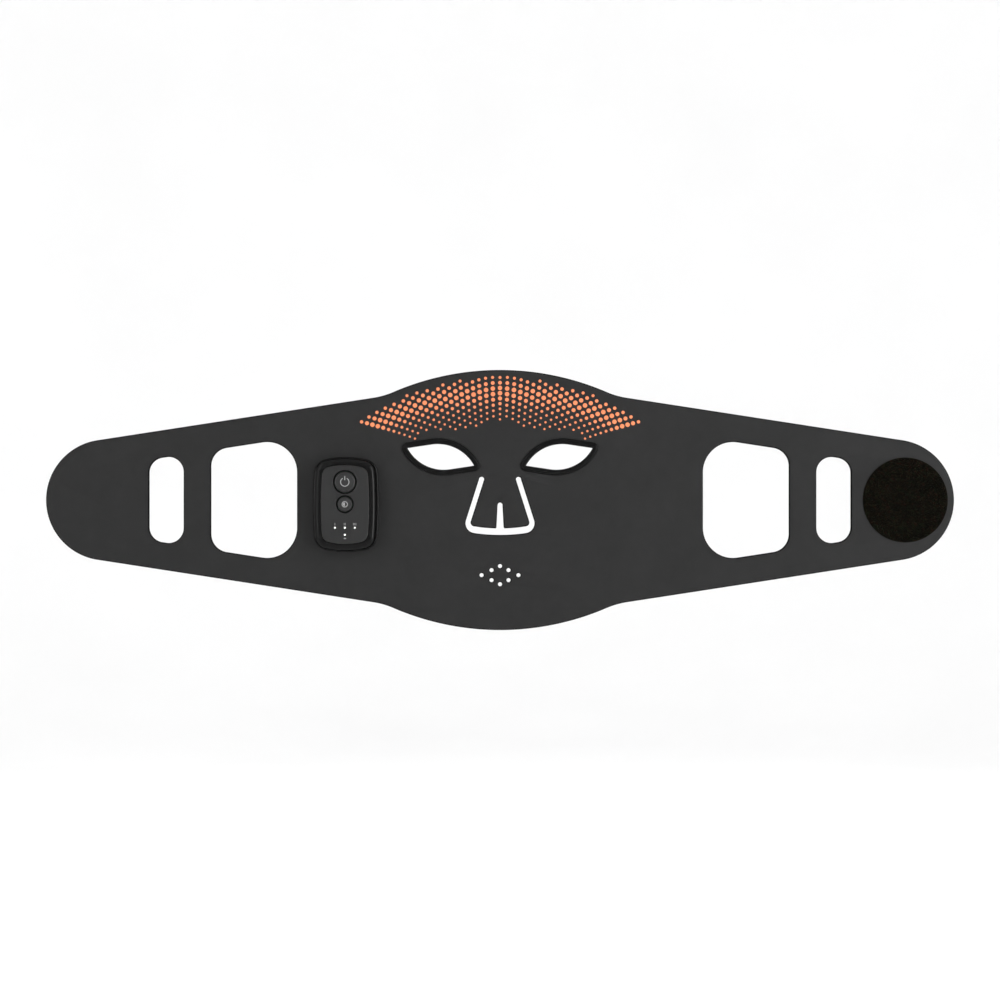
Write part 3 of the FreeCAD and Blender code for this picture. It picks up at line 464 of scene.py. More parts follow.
def nose_cut():
    """The slits round the nose flap and up its middle, as one closed path."""
    s = bpy.context.scene.mask_sheet
    outer_top, inner_top = s.nose_half + s.nose_slit / 2, s.nose_half - s.nose_slit / 2
    outer_low = outer_top + s.nose_spread * (s.nose_top - s.nose_outer_v)
    inner_low = inner_top + s.nose_spread * (s.nose_top - s.nose_inner_v)

    def bulge(u, half, low, sag):
        return (u, low - sag * (1 - (u / half) ** 2))

    steps = 5
    outer_reach = outer_low - s.nose_outer_corner
    inner_reach = inner_low - s.nose_inner_corner * 2
    lip_half = s.lip_bottom / 2
    half = [
        (bulge(outer_reach * i / steps, outer_low, s.nose_outer_v, s.nose_outer_sag), 0)
        for i in range(1, steps)
    ]
    half.append(((outer_low, s.nose_outer_v), s.nose_outer_corner))
    round_end = arc_points((s.nose_half, s.nose_top), s.nose_slit / 2, 0, math.pi)
    half += [(point, 0) for point in round_end]
    half.append(((inner_low, s.nose_inner_v), s.nose_inner_corner))
    for i in range(steps - 1, 0, -1):
        u = lip_half + (inner_reach - lip_half) * i / steps
        half.append((bulge(u, inner_low, s.nose_inner_v, s.nose_inner_sag), 0))
    foot = bulge(lip_half, inner_low, s.nose_inner_v, s.nose_inner_sag)
    half.append((foot, s.nose_slit / 4))
    lip_radius = s.lip_top / 2
    top = arc_points((0, s.lip_top_v - lip_radius), lip_radius, 0, math.pi / 2)
    half += [(point, 0) for point in top[:-1]]
    left = [((-u, v), radius) for (u, v), radius in reversed(half)]
    bottom = ((0, s.nose_outer_v - s.nose_outer_sag), 0)
    return clean(rounded_path([bottom] + half + [((0, s.lip_top_v), 0)] + left))


def mouth_holes():
    s = bpy.context.scene.mask_sheet
    places = [(0, s.mouth_reach_v), (0, -s.mouth_reach_v)]
    places += [(s.mouth_reach_u, 0), (-s.mouth_reach_u, 0)]
    places += [(u * s.mouth_step_u, v * s.mouth_step_v) for u in (-1, 1) for v in (-1, 1)]
    return [circle(u, s.mouth_v + v, s.mouth_hole) for u, v in places]


def cushion(width, height, side_bulge, end_bulge, corner, steps=(16, 12, 10)):
    """Rounded rectangle with bowed sides, as (point, outward normal) pairs, the same count always."""
    half_u, half_v = width / 2, height / 2
    in_u, in_v = half_u - side_bulge, half_v - end_bulge
    side_r = (in_v**2 + side_bulge**2) / (2 * side_bulge)
    end_r = (in_u**2 + end_bulge**2) / (2 * end_bulge)
    side_c, end_c = Vector((half_u - side_r, 0)), Vector((0, half_v - end_r))
    gap = end_c - side_c
    r1, r2 = side_r - corner, end_r - corner
    along = (r1**2 - r2**2 + gap.length_squared) / (2 * gap.length)
    across = math.sqrt(r1**2 - along**2)
    direction = gap.normalized()
    corner_c = side_c + direction * along + Vector((-direction.y, direction.x)) * across
    side_end = math.atan2(corner_c.y, corner_c.x - side_c.x)
    end_start = math.atan2(corner_c.y - end_c.y, corner_c.x)
    quarter = []
    sections = ((side_c, side_r, 0, side_end), (corner_c, corner, side_end, end_start))
    sections += ((end_c, end_r, end_start, math.pi / 2),)
    for (centre, radius, start, end), count in zip(sections, steps):
        for i in range(count):
            angle = start + (end - start) * i / count
            normal = (math.cos(angle), math.sin(angle))
            quarter.append(((centre.x + radius * normal[0], centre.y + radius * normal[1]), normal))
    top = ((0, half_v), (0, 1))
    mirrored = [((-p[0], p[1]), (-n[0], n[1])) for p, n in reversed(quarter[1:])]
    upper = quarter + [top] + mirrored
    far = ((-half_u, 0), (-1, 0))
    lower = [((-p[0], -p[1]), (-n[0], -n[1])) for p, n in upper]
    return upper + [far] + lower[1:]


# ---------------------------------------------------------------- mesh helpers
def new_object(name, bm, materials, smooth_angle=35):
    """A linked object from a bmesh, smooth but for its sharp edges."""
    name = name.replace(" ", "_")
    mesh = bpy.data.meshes.new(name)
    bm.to_mesh(mesh)
    bm.free()
    mesh.polygons.foreach_set("use_smooth", [True] * len(mesh.polygons))
    mesh.set_sharp_from_angle(angle=math.radians(smooth_angle))
    for material in materials:
        mesh.materials.append(material)
    thing = bpy.data.objects.new(name, mesh)
    bpy.context.scene.collection.objects.link(thing)
    return thing


def layer(outlines, low, high, edge, resolution=3):
    """A flat layer with holes and rounded edges, stood up, as a bmesh."""
    curve = bpy.data.curves.new("layer", "CURVE")
    curve.dimensions = "2D"
    curve.fill_mode = "BOTH"
    curve.bevel_depth = edge
    curve.bevel_resolution = resolution
    curve.extrude = (high - low) / 2 - edge
    curve.offset = -edge
    for outline in outlines:
        spline = curve.splines.new("POLY")
        spline.points.add(len(outline) - 1)
        for control, (u, v) in zip(spline.points, outline):
            control.co = (u, v, 0, 1)
        spline.use_cyclic_u = True
    holder = bpy.data.objects.new("layer", curve)
    bpy.context.scene.collection.objects.link(holder)
    depsgraph = bpy.context.evaluated_depsgraph_get()
    mesh = bpy.data.meshes.new_from_object(holder.evaluated_get(depsgraph))
    bpy.data.objects.remove(holder)
    bpy.data.curves.remove(curve)
    bm = bmesh.new()
    bm.from_mesh(mesh)
    bpy.data.meshes.remove(mesh)
    middle = (low + high) / 2
    for vert in bm.verts:
        vert.co = place(vert.co.x, vert.co.y, vert.co.z + middle)
    bmesh.ops.remove_doubles(bm, verts=bm.verts, dist=MERGE)
    bmesh.ops.recalc_face_normals(bm, faces=bm.faces)
    for face in bm.faces:
        # The second slot, used by the skins, paints shade on the edge faces.
        face.material_index = int(abs(face.normal.y) < EDGE_FACING)
    return bm


def cut_across(bm, point, normal):
    """Divides every face along a plane."""
    geometry = bm.verts[:] + bm.edges[:] + bm.faces[:]
    bmesh.ops.bisect_plane(bm, geom=geometry, dist=MERGE / 10, plane_co=point, plane_no=normal)


def keep_beyond(bm, point, normal):
    """Cuts off what lies behind a plane and closes the cut."""
    geometry = bm.verts[:] + bm.edges[:] + bm.faces[:]
    bmesh.ops.bisect_plane(
        bm, geom=geometry, dist=MERGE / 10, plane_co=point, plane_no=normal, clear_inner=True
    )
    close_holes(bm)


def close_holes(bm):
    open_edges = [edge for edge in bm.edges if edge.is_boundary]
    if open_edges:
        made = bmesh.ops.holes_fill(bm, edges=open_edges, sides=0)
        bmesh.ops.triangulate(bm, faces=made["faces"])
    bmesh.ops.recalc_face_normals(bm, faces=bm.faces)


def bridge(bm, rings):
    """Faces between each ring of vertices and the next."""
    for ring, following in zip(rings, rings[1:]):
        for k in range(len(ring)):
            after = (k + 1) % len(ring)
            bm.faces.new((ring[k], ring[after], following[after], following[k]))


def ring_at(centre, radius, w, steps):
    """Points of a circle about W."""
    return [
        place(centre[0] + radius * math.cos(a), centre[1] + radius * math.sin(a), w) for a in turns(steps)
    ]


def node_mesh(name):
    """A carried-over node's mesh where it stands, as a bmesh."""
    node = bpy.data.objects[name]
    bm = bmesh.new()
    bm.from_mesh(node.data)
    bm.transform(node.matrix_world)
    bmesh.ops.remove_doubles(bm, verts=bm.verts, dist=MERGE)
    return bm


def loft(rings, closed_profile=True):
    """Faces between rings of points; the rings close on themselves, and so can the profile."""
    bm = bmesh.new()
    made = [[bm.verts.new(point) for point in ring] for ring in rings]
    bridge(bm, made + made[:1] if closed_profile else made)
    if not closed_profile:
        bm.faces.new(made[0])
        bm.faces.new(made[-1])
    bmesh.ops.remove_doubles(bm, verts=bm.verts, dist=MERGE)
    bmesh.ops.recalc_face_normals(bm, faces=bm.faces)
    return bm


def lathe(profile, centre, steps=64):
    """A solid of revolution about W; the profile is (radius, w) pairs from axis to axis."""
    bm = bmesh.new()
    made = [[bm.verts.new(point) for point in ring_at(centre, r, w, steps)] for r, w in profile[1:-1]]
    bridge(bm, made)
    for ring, w in ((made[0], profile[0][1]), (made[-1], profile[-1][1])):
        pole = bm.verts.new(place(centre[0], centre[1], w))
        for k in range(steps):
            bm.faces.new((pole, ring[k], ring[(k + 1) % steps]))
    bmesh.ops.recalc_face_normals(bm, faces=bm.faces)
    return bm


def joined(parts):
    """One bmesh from several."""
    whole = bmesh.new()
    for part in parts:
        mesh = bpy.data.meshes.new("part")
        part.to_mesh(mesh)
        part.free()
        whole.from_mesh(mesh)
        bpy.data.meshes.remove(mesh)
    return whole


# ---------------------------------------------------------------- materials
class Paint:
    """A node-based material being put together; points are read from Object coordinates."""

    def __init__(self, name, **sockets):
        self.material = bpy.data.materials.new(name)
        self.material.use_nodes = True
        self.nodes = self.material.node_tree.nodes
        self.links = self.material.node_tree.links
        self.shader = self.nodes["Principled BSDF"]
        self.coordinates = self.nodes.new("ShaderNodeTexCoord").outputs["Object"]
        self.height = None
        for socket, value in sockets.items():
            self.shader.inputs[socket.replace("_", " ").title()].default_value = value

    def set(self, socket, value):
        self.shader.inputs[socket].default_value = value
        return self

    def stretched(self, scale):
        node = self.nodes.new("ShaderNodeMapping")
        node.inputs["Scale"].default_value = scale
        self.links.new(self.coordinates, node.inputs["Vector"])
        return node.outputs["Vector"]

    def noise(self, scale, detail=3.0, roughness=0.5, stretch=(1, 1, 1)):
        node = self.nodes.new("ShaderNodeTexNoise")
        node.inputs["Scale"].default_value = scale
        node.inputs["Detail"].default_value = detail
        node.inputs["Roughness"].default_value = roughness
        self.links.new(self.stretched(stretch), node.inputs["Vector"])
        return node.outputs["Fac"]

    def cells(self, scale, output="Distance", feature="F1"):
        node = self.nodes.new("ShaderNodeTexVoronoi")
        node.feature = feature
        node.inputs["Scale"].default_value = scale
        self.links.new(self.stretched((1, 1, 1)), node.inputs["Vector"])
        return node.outputs[output]

    def span(self, source, low, high, out_low, out_high):
        """A factor moved from one range to another and kept inside it."""
        node = self.nodes.new("ShaderNodeMapRange")
        node.inputs["From Min"].default_value = low
        node.inputs["From Max"].default_value = high
        node.inputs["To Min"].default_value = out_low
        node.inputs["To Max"].default_value = out_high
        self.links.new(source, node.inputs["Value"])
        return node.outputs["Result"]

    def mottle(self, source, tint, dark, bright):
        """Clouds of one colour, from a darker share of it to a brighter one."""
        return self.colour(source, [(0.3, tinted(tint, dark)), (0.7, tinted(tint, bright))])

    def colour(self, source, stops):
        node = self.nodes.new("ShaderNodeValToRGB")
        ramp = node.color_ramp
        while len(ramp.elements) < len(stops):
            ramp.elements.new(0.5)
        for stop, (position, tint) in zip(ramp.elements, stops):
            stop.position = position
            stop.color = (*tint, 1)
        self.links.new(source, node.inputs["Fac"])
        self.links.new(node.outputs["Color"], self.shader.inputs["Base Color"])
        return self

    def rough(self, source, low, high, smooth, matt):
        self.links.new(self.span(source, low, high, smooth, matt), self.shader.inputs["Roughness"])
        return self

    def bump(self, source, distance, strength=1.0):
        node = self.nodes.new("ShaderNodeBump")
        node.inputs["Distance"].default_value = distance
        node.inputs["Strength"].default_value = strength
        self.links.new(source, node.inputs["Height"])
        if self.height:
            self.links.new(self.height, node.inputs["Normal"])
        self.height = node.outputs["Normal"]
        self.links.new(self.height, self.shader.inputs["Normal"])
        return self


def tinted(tint, share):
    return tuple(min(1.0, part * share) for part in tint)


def silicone(name, tint, roughness, gloss):
    """Soft silicone: a satin skin with faint clouding, fine grain and a little dust."""
    paint = Paint(name, metallic=0.0)
    paint.set("IOR", 1.41).set("Specular IOR Level", gloss)
    paint.mottle(paint.noise(38, 4, 0.55), tint, 0.92, 1.08)
    paint.rough(paint.noise(160, 3, 0.6), 0.3, 0.7, roughness - 0.05, roughness + 0.06)
    paint.bump(paint.noise(2600, 2, 0.5), 0.00002, 0.5)
    paint.bump(paint.noise(60, 2, 0.5), 0.0003, 0.12)
    return paint.material


def gloss_plastic(name, tint, roughness, gloss):
    """Moulded glossy plastic with slight waviness and faint rub marks."""
    paint = Paint(name, metallic=0.0)
    paint.set("Specular IOR Level", gloss)
    paint.mottle(paint.noise(90, 3, 0.5), tint, 0.85, 1.15)
    rubs = paint.noise(220, 5, 0.7, (1, 0.2, 1))
    paint.rough(rubs, 0.35, 0.75, roughness, roughness + 0.12)
    paint.bump(paint.noise(700, 2, 0.5), 0.000005, 0.3)
    return paint.material


def satin_plastic(name, tint, roughness, gloss=0.5):
    """Finely spark-textured plastic."""
    paint = Paint(name, metallic=0.0)
    paint.set("Specular IOR Level", gloss)
    paint.mottle(paint.noise(120, 3, 0.5), tint, 0.93, 1.07)
    paint.rough(paint.noise(300, 4, 0.6), 0.3, 0.7, roughness - 0.05, roughness + 0.07)
    paint.bump(paint.cells(2400), 0.000015, 0.5)
    return paint.material


def ink(name, tint):
    """Screen-printed ink: slightly uneven and finely pitted."""
    paint = Paint(name, metallic=0.0)
    paint.set("Specular IOR Level", 0.2)
    paint.mottle(paint.noise(500, 3, 0.5), tint, 0.94, 1.04)
    paint.rough(paint.noise(900, 2, 0.5), 0.3, 0.7, 0.49, 0.63)
    paint.bump(paint.noise(3200, 2, 0.5), 0.00001, 0.5)
    return paint.material


def lit(name, tint, strength):
    """A lit lens over slightly uneven plastic."""
    paint = Paint(name, metallic=0.0)
    paint.set("Emission Color", (*tint, 1)).set("Emission Strength", strength)
    paint.colour(paint.noise(700, 2, 0.5), [(0.3, grey(0.8)), (0.7, grey(0.95))])
    paint.rough(paint.noise(900, 2, 0.5), 0.3, 0.7, 0.25, 0.4)
    return paint.material


def hook_fabric(name):
    """Woven base of the hook tape: black with tiny flecks of brown, green and red."""
    paint = Paint(name, metallic=0.0)
    paint.set("Specular IOR Level", 0.03)
    flecks = paint.cells(1250, "Color")
    split = paint.nodes.new("ShaderNodeSeparateColor")
    paint.links.new(flecks, split.inputs["Color"])
    stops = [(0.0, (0.0005, 0.0005, 0.0)), (0.45, (0.001, 0.001, 0.0005))]
    stops += [(0.62, (0.004, 0.0025, 0.001)), (0.72, (0.001, 0.003, 0.001))]
    stops += [(0.84, (0.011, 0.003, 0.002)), (0.92, (0.002, 0.006, 0.002)), (1.0, (0.012, 0.01, 0.005))]
    paint.colour(split.outputs["Red"], stops)
    paint.rough(split.outputs["Green"], 0.0, 1.0, 0.55, 0.8)
    paint.bump(paint.cells(1250), 0.00015, 0.8)
    return paint.material


def hook_nylon(name):
    """Tiny moulded nylon hooks, each a slightly different dark shade."""
    paint = Paint(name, metallic=0.0)
    paint.set("Specular IOR Level", 0.05)
    split = paint.nodes.new("ShaderNodeSeparateColor")
    paint.links.new(paint.cells(1100, "Color"), split.inputs["Color"])
    stops = [(0.0, (0.0, 0.0, 0.0)), (0.5, (0.001, 0.001, 0.0005))]
    stops += [(0.7, (0.004, 0.003, 0.001)), (0.82, (0.002, 0.005, 0.001)), (1.0, (0.022, 0.008, 0.005))]
    paint.colour(split.outputs["Red"], stops)
    paint.rough(split.outputs["Green"], 0.0, 1.0, 0.3, 0.5)
    return paint.material


def loop_fabric(name):
    """Brushed loops: soft and dark, with matted tufts."""
    paint = Paint(name, metallic=0.0)
    paint.set("Sheen Weight", 0.25).set("Sheen Roughness", 0.5).set("Specular IOR Level", 0.1)
    paint.colour(paint.noise(420, 5, 0.7), [(0.3, grey(0.006)), (0.7, grey(0.028))])
    paint.rough(paint.noise(700, 3, 0.6), 0.3, 0.7, 0.8, 0.95)
    paint.bump(paint.noise(1500, 5, 0.75), 0.0004, 0.9)
    return paint.material


def polyimide(name):
    """Flexible circuit: amber film over a faint pattern of copper."""
    paint = Paint(name, metallic=0.0)
    paint.set("Coat Weight", 0.4).set("Coat Roughness", 0.2)
    traces = paint.noise(150, 1, 0.2, (1, 1, 6))
    paint.colour(traces, [(0.44, (0.32, 0.1, 0.02)), (0.56, (0.5, 0.2, 0.05))])
    paint.rough(paint.noise(400, 3, 0.5), 0.3, 0.7, 0.28, 0.4)
    paint.bump(traces, 0.00002, 0.5)
    return paint.material


def clear_lens(name):
    """Clear silicone window, a little frosted."""
    paint = Paint(name, metallic=0.0)
    paint.set("IOR", 1.41).set("Transmission Weight", 0.85)
    paint.colour(paint.noise(200, 2, 0.5), [(0.3, grey(0.82)), (0.7, grey(0.92))])
    paint.rough(paint.noise(500, 3, 0.6), 0.3, 0.7, 0.08, 0.22)
    paint.bump(paint.noise(700, 2, 0.5), 0.00004, 0.3)
    return paint.material


def metal(name, tint):
    """Machined metal with fine turning marks."""
    paint = Paint(name, metallic=1.0)
    marks = paint.noise(1300, 2, 0.5, (1, 0.15, 1))
    paint.mottle(marks, tint, 0.88, 1.0)
    paint.rough(marks, 0.3, 0.7, 0.24, 0.4)
    paint.bump(marks, 0.00001, 0.4)
    return paint.material


def circuit_board(name):
    """Solder mask over a maze of traces, with a faint woven grain."""
    paint = Paint(name, metallic=0.0)
    paint.set("Coat Weight", 0.5).set("Coat Roughness", 0.15)
    traces = paint.cells(420, "Distance", "DISTANCE_TO_EDGE")
    paint.colour(traces, [(0.05, (0.02, 0.14, 0.05)), (0.12, (0.008, 0.07, 0.025))])
    paint.rough(paint.noise(700, 3, 0.6), 0.3, 0.7, 0.3, 0.45)
    paint.bump(traces, 0.00003, 0.4)
    return paint.material


def wrap_film(name, tint):
    """Shrink film round a battery cell, wrinkled at its ends."""
    paint = Paint(name, metallic=0.6)
    wrinkles = paint.noise(260, 4, 0.6, (1, 1, 0.3))
    paint.mottle(wrinkles, tint, 0.8, 1.0)
    paint.rough(wrinkles, 0.3, 0.7, 0.22, 0.42)
    paint.bump(wrinkles, 0.0001, 0.5)
    return paint.material


MATERIALS = {}


def material(name):
    """One of the part's materials, made when it is first asked for."""
    chosen = bpy.context.scene.mask_colours
    makers = {
        "outer_skin": lambda: silicone("Outer silicone", chosen.skin, 0.62, 0.25),
        "inner_skin": lambda: silicone("Inner silicone", tinted(chosen.skin, 1.25), 0.7, 0.25),
        # The same silicone, far darker, on edge faces: painted shade along the rounded edges and hole walls.
        "shaded_skin_edge": lambda: silicone("Silicone edge", tinted(chosen.skin, 0.15), 0.7, 0.04),
        "eye_rim": lambda: gloss_plastic("Rim gloss", chosen.rim, 0.3, 0.1),
        "unit_casing": lambda: gloss_plastic("Casing gloss", chosen.casing, 0.16, 0.14),
        "unit_plate": lambda: satin_plastic("Face plate satin", chosen.plate, 0.36, 0.32),
        "button_cap": lambda: satin_plastic("Button satin", chosen.cap, 0.34, 0.32),
        # Near-black ring in each button's hole: painted shade of the gap round the button.
        "painted_gap_shade": lambda: satin_plastic("Button slit", grey(0.002), 0.5, 0.15),
        "print": lambda: ink("Coral ink", chosen.print_ink),
        "mark": lambda: ink("Light grey ink", chosen.mark),
        "faint_mark": lambda: ink("Faint grey ink", chosen.faint_mark),
        "light": lambda: lit("White light", chosen.light, 1.2),
        "hook_tape": lambda: hook_fabric("Hook tape weave"),
        "hooks": lambda: hook_nylon("Hook nylon"),
        "loop_tape": lambda: loop_fabric("Loop tape"),
        "flex_circuit": lambda: polyimide("Flexible circuit"),
        "led_lens": lambda: clear_lens("Clear lens"),
        "red_led": lambda: satin_plastic("Red diode", (0.5, 0.05, 0.03), 0.3),
        "infrared_led": lambda: satin_plastic("Infrared diode", (0.62, 0.6, 0.5), 0.3),
        "light_guide": lambda: clear_lens("Light guide"),
        "signal_led": lambda: satin_plastic("Signal diode", (0.75, 0.72, 0.5), 0.35),
        "adhesive_tape": lambda: satin_plastic("Adhesive tape", (0.5, 0.47, 0.38), 0.6),
        "steel": lambda: metal("Stainless steel", (0.62, 0.6, 0.58)),
        "backing_plate": lambda: satin_plastic("Backing plate", grey(0.06), 0.55),
        "circuit_board": lambda: circuit_board("Solder mask"),
        "component_body": lambda: satin_plastic("Moulded epoxy", grey(0.012), 0.5),
        "battery_cell": lambda: wrap_film("Battery film", (0.45, 0.5, 0.56)),
    }
    if name not in MATERIALS:
        MATERIALS[name] = makers[name]()
    return MATERIALS[name]


# ---------------------------------------------------------------- repeated shapes
def scatter_tree():
    """Puts an element at every point, spun and tilted at random, and gives it its finish."""
    tree = bpy.data.node_groups.new("Scatter", "GeometryNodeTree")
    sockets = (
        ("Geometry", "INPUT", "NodeSocketGeometry"),
        ("Element", "INPUT", "NodeSocketObject"),
        ("Finish", "INPUT", "NodeSocketMaterial"),
        ("Spin", "INPUT", "NodeSocketFloat"),
        ("Tilt", "INPUT", "NodeSocketFloat"),
        ("Seed", "INPUT", "NodeSocketInt"),
        ("Geometry", "OUTPUT", "NodeSocketGeometry"),
    )
    for name, direction, kind in sockets:
        tree.interface.new_socket(name, in_out=direction, socket_type=kind)

    def node(kind):
        return tree.nodes.new(kind)

    given, result = node("NodeGroupInput"), node("NodeGroupOutput")
    size, scale = node("GeometryNodeInputNamedAttribute"), node("ShaderNodeCombineXYZ")
    size.data_type = "FLOAT"
    size.inputs["Name"].default_value = "size"
    scale.inputs["Y"].default_value = 1.0
    angles, chance = node("ShaderNodeCombineXYZ"), node("FunctionNodeRandomValue")
    chance.data_type = "FLOAT_VECTOR"
    chance.inputs["Max"].default_value = (1, 1, 1)
    chance.inputs["Min"].default_value = (-1, -1, -1)
    turned = node("ShaderNodeVectorMath")
    turned.operation = "MULTIPLY"
    rotation = node("FunctionNodeEulerToRotation")
    element = node("GeometryNodeObjectInfo")
    instances = node("GeometryNodeInstanceOnPoints")
    real, finish = node("GeometryNodeRealizeInstances"), node("GeometryNodeSetMaterial")
    join = tree.links.new
    for axis in ("X", "Z"):
        join(size.outputs["Attribute"], scale.inputs[axis])
        join(given.outputs["Tilt"], angles.inputs[axis])
    join(given.outputs["Spin"], angles.inputs["Y"])
    join(given.outputs["Seed"], chance.inputs["Seed"])
    join(chance.outputs["Value"], turned.inputs[0])
    join(angles.outputs["Vector"], turned.inputs[1])
    join(turned.outputs["Vector"], rotation.inputs["Euler"])
    join(given.outputs["Element"], element.inputs["Object"])
    join(given.outputs["Geometry"], instances.inputs["Points"])
    join(element.outputs["Geometry"], instances.inputs["Instance"])
    join(rotation.outputs["Rotation"], instances.inputs["Rotation"])
    join(scale.outputs["Vector"], instances.inputs["Scale"])
    join(instances.outputs["Instances"], real.inputs["Geometry"])
    join(real.outputs["Geometry"], finish.inputs["Geometry"])
    join(given.outputs["Finish"], finish.inputs["Material"])
    join(finish.outputs["Geometry"], result.inputs["Geometry"])
    return tree


def scatter(name, points, element, finish, sizes=None, spin=0.0, tilt=0.0, seed=1):
    """A plain mesh with a copy of element, a bmesh, at each point."""
    name = name.replace(" ", "_")
    mesh = bpy.data.meshes.new(name)
    mesh.from_pydata([tuple(point) for point in points], [], [])
    attribute = mesh.attributes.new("size", "FLOAT", "POINT")
    attribute.data.foreach_set("value", sizes or [1.0] * len(points))
    holder = bpy.data.objects.new(name, mesh)
    shape = new_object(name + " element", element, [])
    bpy.context.scene.collection.objects.link(holder)
    tree = bpy.data.node_groups.get("Scatter") or scatter_tree()
    modifier = holder.modifiers.new("Scatter", "NODES")
    modifier.node_group = tree
    values = {"Element": shape, "Finish": finish, "Spin": spin, "Tilt": tilt, "Seed": seed}
    for item in tree.interface.items_tree:
        if item.in_out == "INPUT" and item.name in values:
            modifier[item.identifier] = values[item.name]
    depsgraph = bpy.context.evaluated_depsgraph_get()
    made = bpy.data.meshes.new_from_object(holder.evaluated_get(depsgraph))
    made.name = name
    bpy.data.objects.remove(holder)
    bpy.data.objects.remove(shape)
    if not made.polygons:
        raise RuntimeError(name + " came out empty")
    for attribute in [a for a in made.attributes if a.name == "size"]:
        made.attributes.remove(attribute)
    thing = bpy.data.objects.new(name, made)
    bpy.context.scene.collection.objects.link(thing)
    return thing


def element(profile, steps):
    """A small solid of revolution at the origin, for scatter(), from (radius, w) pairs."""
    return lathe(profile, (0, bpy.context.scene.mask_sheet.eye_v), steps)


# ---------------------------------------------------------------- pieces that bend
def bending_pieces():
    """Every span of the sheet between seams: name, X range, bodies, zone of its bend."""
    s = bpy.context.scene.mask_sheet
    cheek, temple = bend_line("right_cheek"), bend_line("right_temple")
    nape, end = bend_line("right_nape"), half_length() + s.rim_width
    found = []
    for side, word in SIDES:
        at_cheek = (cheek - s.bend_before, cheek + s.bend_after)
        at_temple = (temple - s.temple_before, temple + s.bend_after)
        at_nape = (nape - s.nape_before, nape + s.nape_after)
        spans = (
            ("face", 0.0, s.cheek_seam, "face", word + "_cheek", at_cheek),
            ("ear", s.cheek_seam, s.ear_seam, word + "_cheek", word + "_ear", at_temple),
            ("strap", s.ear_seam, end, word + "_ear", word + "_strap", at_nape),
        )
        for name, inner, outer, a, b, zone in spans:
            inner_x = s.middle_seam if name == "face" else side * inner
            low, high = sorted((inner_x, side * outer))
            found.append((word + " " + name, low, high, a, b, (side * zone[0], side * zone[1])))
    return found


def bend_with(piece, a, b, zone):
    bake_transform(piece, a, b, (zone[0], FACE_Y, 0), (zone[1], FACE_Y, 0))


def split_and_bend(name, bm, materials, parts=("face", "ear", "strap")):
    """Cuts a layer into the sheet's bending pieces and returns them by name."""
    s = bpy.context.scene.mask_sheet
    found = {}
    for label, low, high, a, b, zone in bending_pieces():
        if label.split()[1] not in parts:
            continue
        piece = bm.copy()
        keep_beyond(piece, (low, 0, 0), (1, 0, 0))
        keep_beyond(piece, (high, 0, 0), (-1, 0, 0))
        first, last = sorted(zone)
        count = round((last - first) / s.bend_cut)
        for i in range(count + 1):
            cut_across(piece, (first + (last - first) * i / count, 0, 0), (1, 0, 0))
        if not piece.faces:
            piece.free()
            continue
        thing = new_object(label.capitalize() + " " + name, piece, materials)
        bend_with(thing, a, b, zone)
        found[label] = thing
    bm.free()
    return found


def mark_flap(bm, fold_z):
    """A face layer that is 1 on all that hangs from the flap's fold."""
    s = bpy.context.scene.mask_sheet
    mark = bm.faces.layers.int.new("flap")
    half = s.nose_half - s.nose_slit / 2

    def starts(face):
        centre = face.calc_center_median()
        return abs(centre.x) < half and place(0, 0, 0).z < centre.z < fold_z

    todo = [next(face for face in bm.faces if starts(face))]
    while todo:
        face = todo.pop()
        face[mark] = 1
        for edge in face.edges:
            if all(abs(vert.co.z - fold_z) < MERGE for vert in edge.verts):
                continue
            todo += [other for other in edge.link_faces if not other[mark]]


def cut_flap(bm):
    """Takes the nose flap out of a layer; both are closed along the fold."""
    s = bpy.context.scene.mask_sheet
    fold = s.nose_top + FOLD_ABOVE
    cut_across(bm, place(0, fold, 0), (0, 0, 1))
    mark_flap(bm, place(0, fold, 0).z)
    flap = bm.copy()
    for part, wanted in ((bm, 0), (flap, 1)):
        layer_there = part.faces.layers.int["flap"]
        away = [face for face in part.faces if face[layer_there] != wanted]
        bmesh.ops.delete(part, geom=away, context="FACES")
        part.faces.layers.int.remove(part.faces.layers.int["flap"])
        close_holes(part)
    steps = round(s.fold_reach / MM)
    for i in range(steps + 1):
        cut_across(flap, place(0, fold - s.fold_reach * i / steps, 0), (0, 0, 1))
    return flap


def lens_places():
    """Centre of every diode, in U and V, read from the frame's own lenses: red ones and others."""
    s = bpy.context.scene.mask_sheet
    found = {}
    for kind in ("red_leds", "infrared_leds"):
        places = []
        for segment in SEGMENTS:
            bm = node_mesh(segment + "_" + kind)
            left = set(bm.verts)
            while left:
                island, todo = [], [left.pop()]
                while todo:
                    vert = todo.pop()
                    island.append(vert.co.copy())
                    near = [edge.other_vert(vert) for edge in vert.link_edges]
                    todo += [other for other in near if other in left]
                    left.difference_update(near)
                us = [co.x for co in island]
                vs = [co.z for co in island]
                places.append(((min(us) + max(us)) / 2, (min(vs) + max(vs)) / 2 + s.eye_v))
            bm.free()
        found[kind] = places
    return found


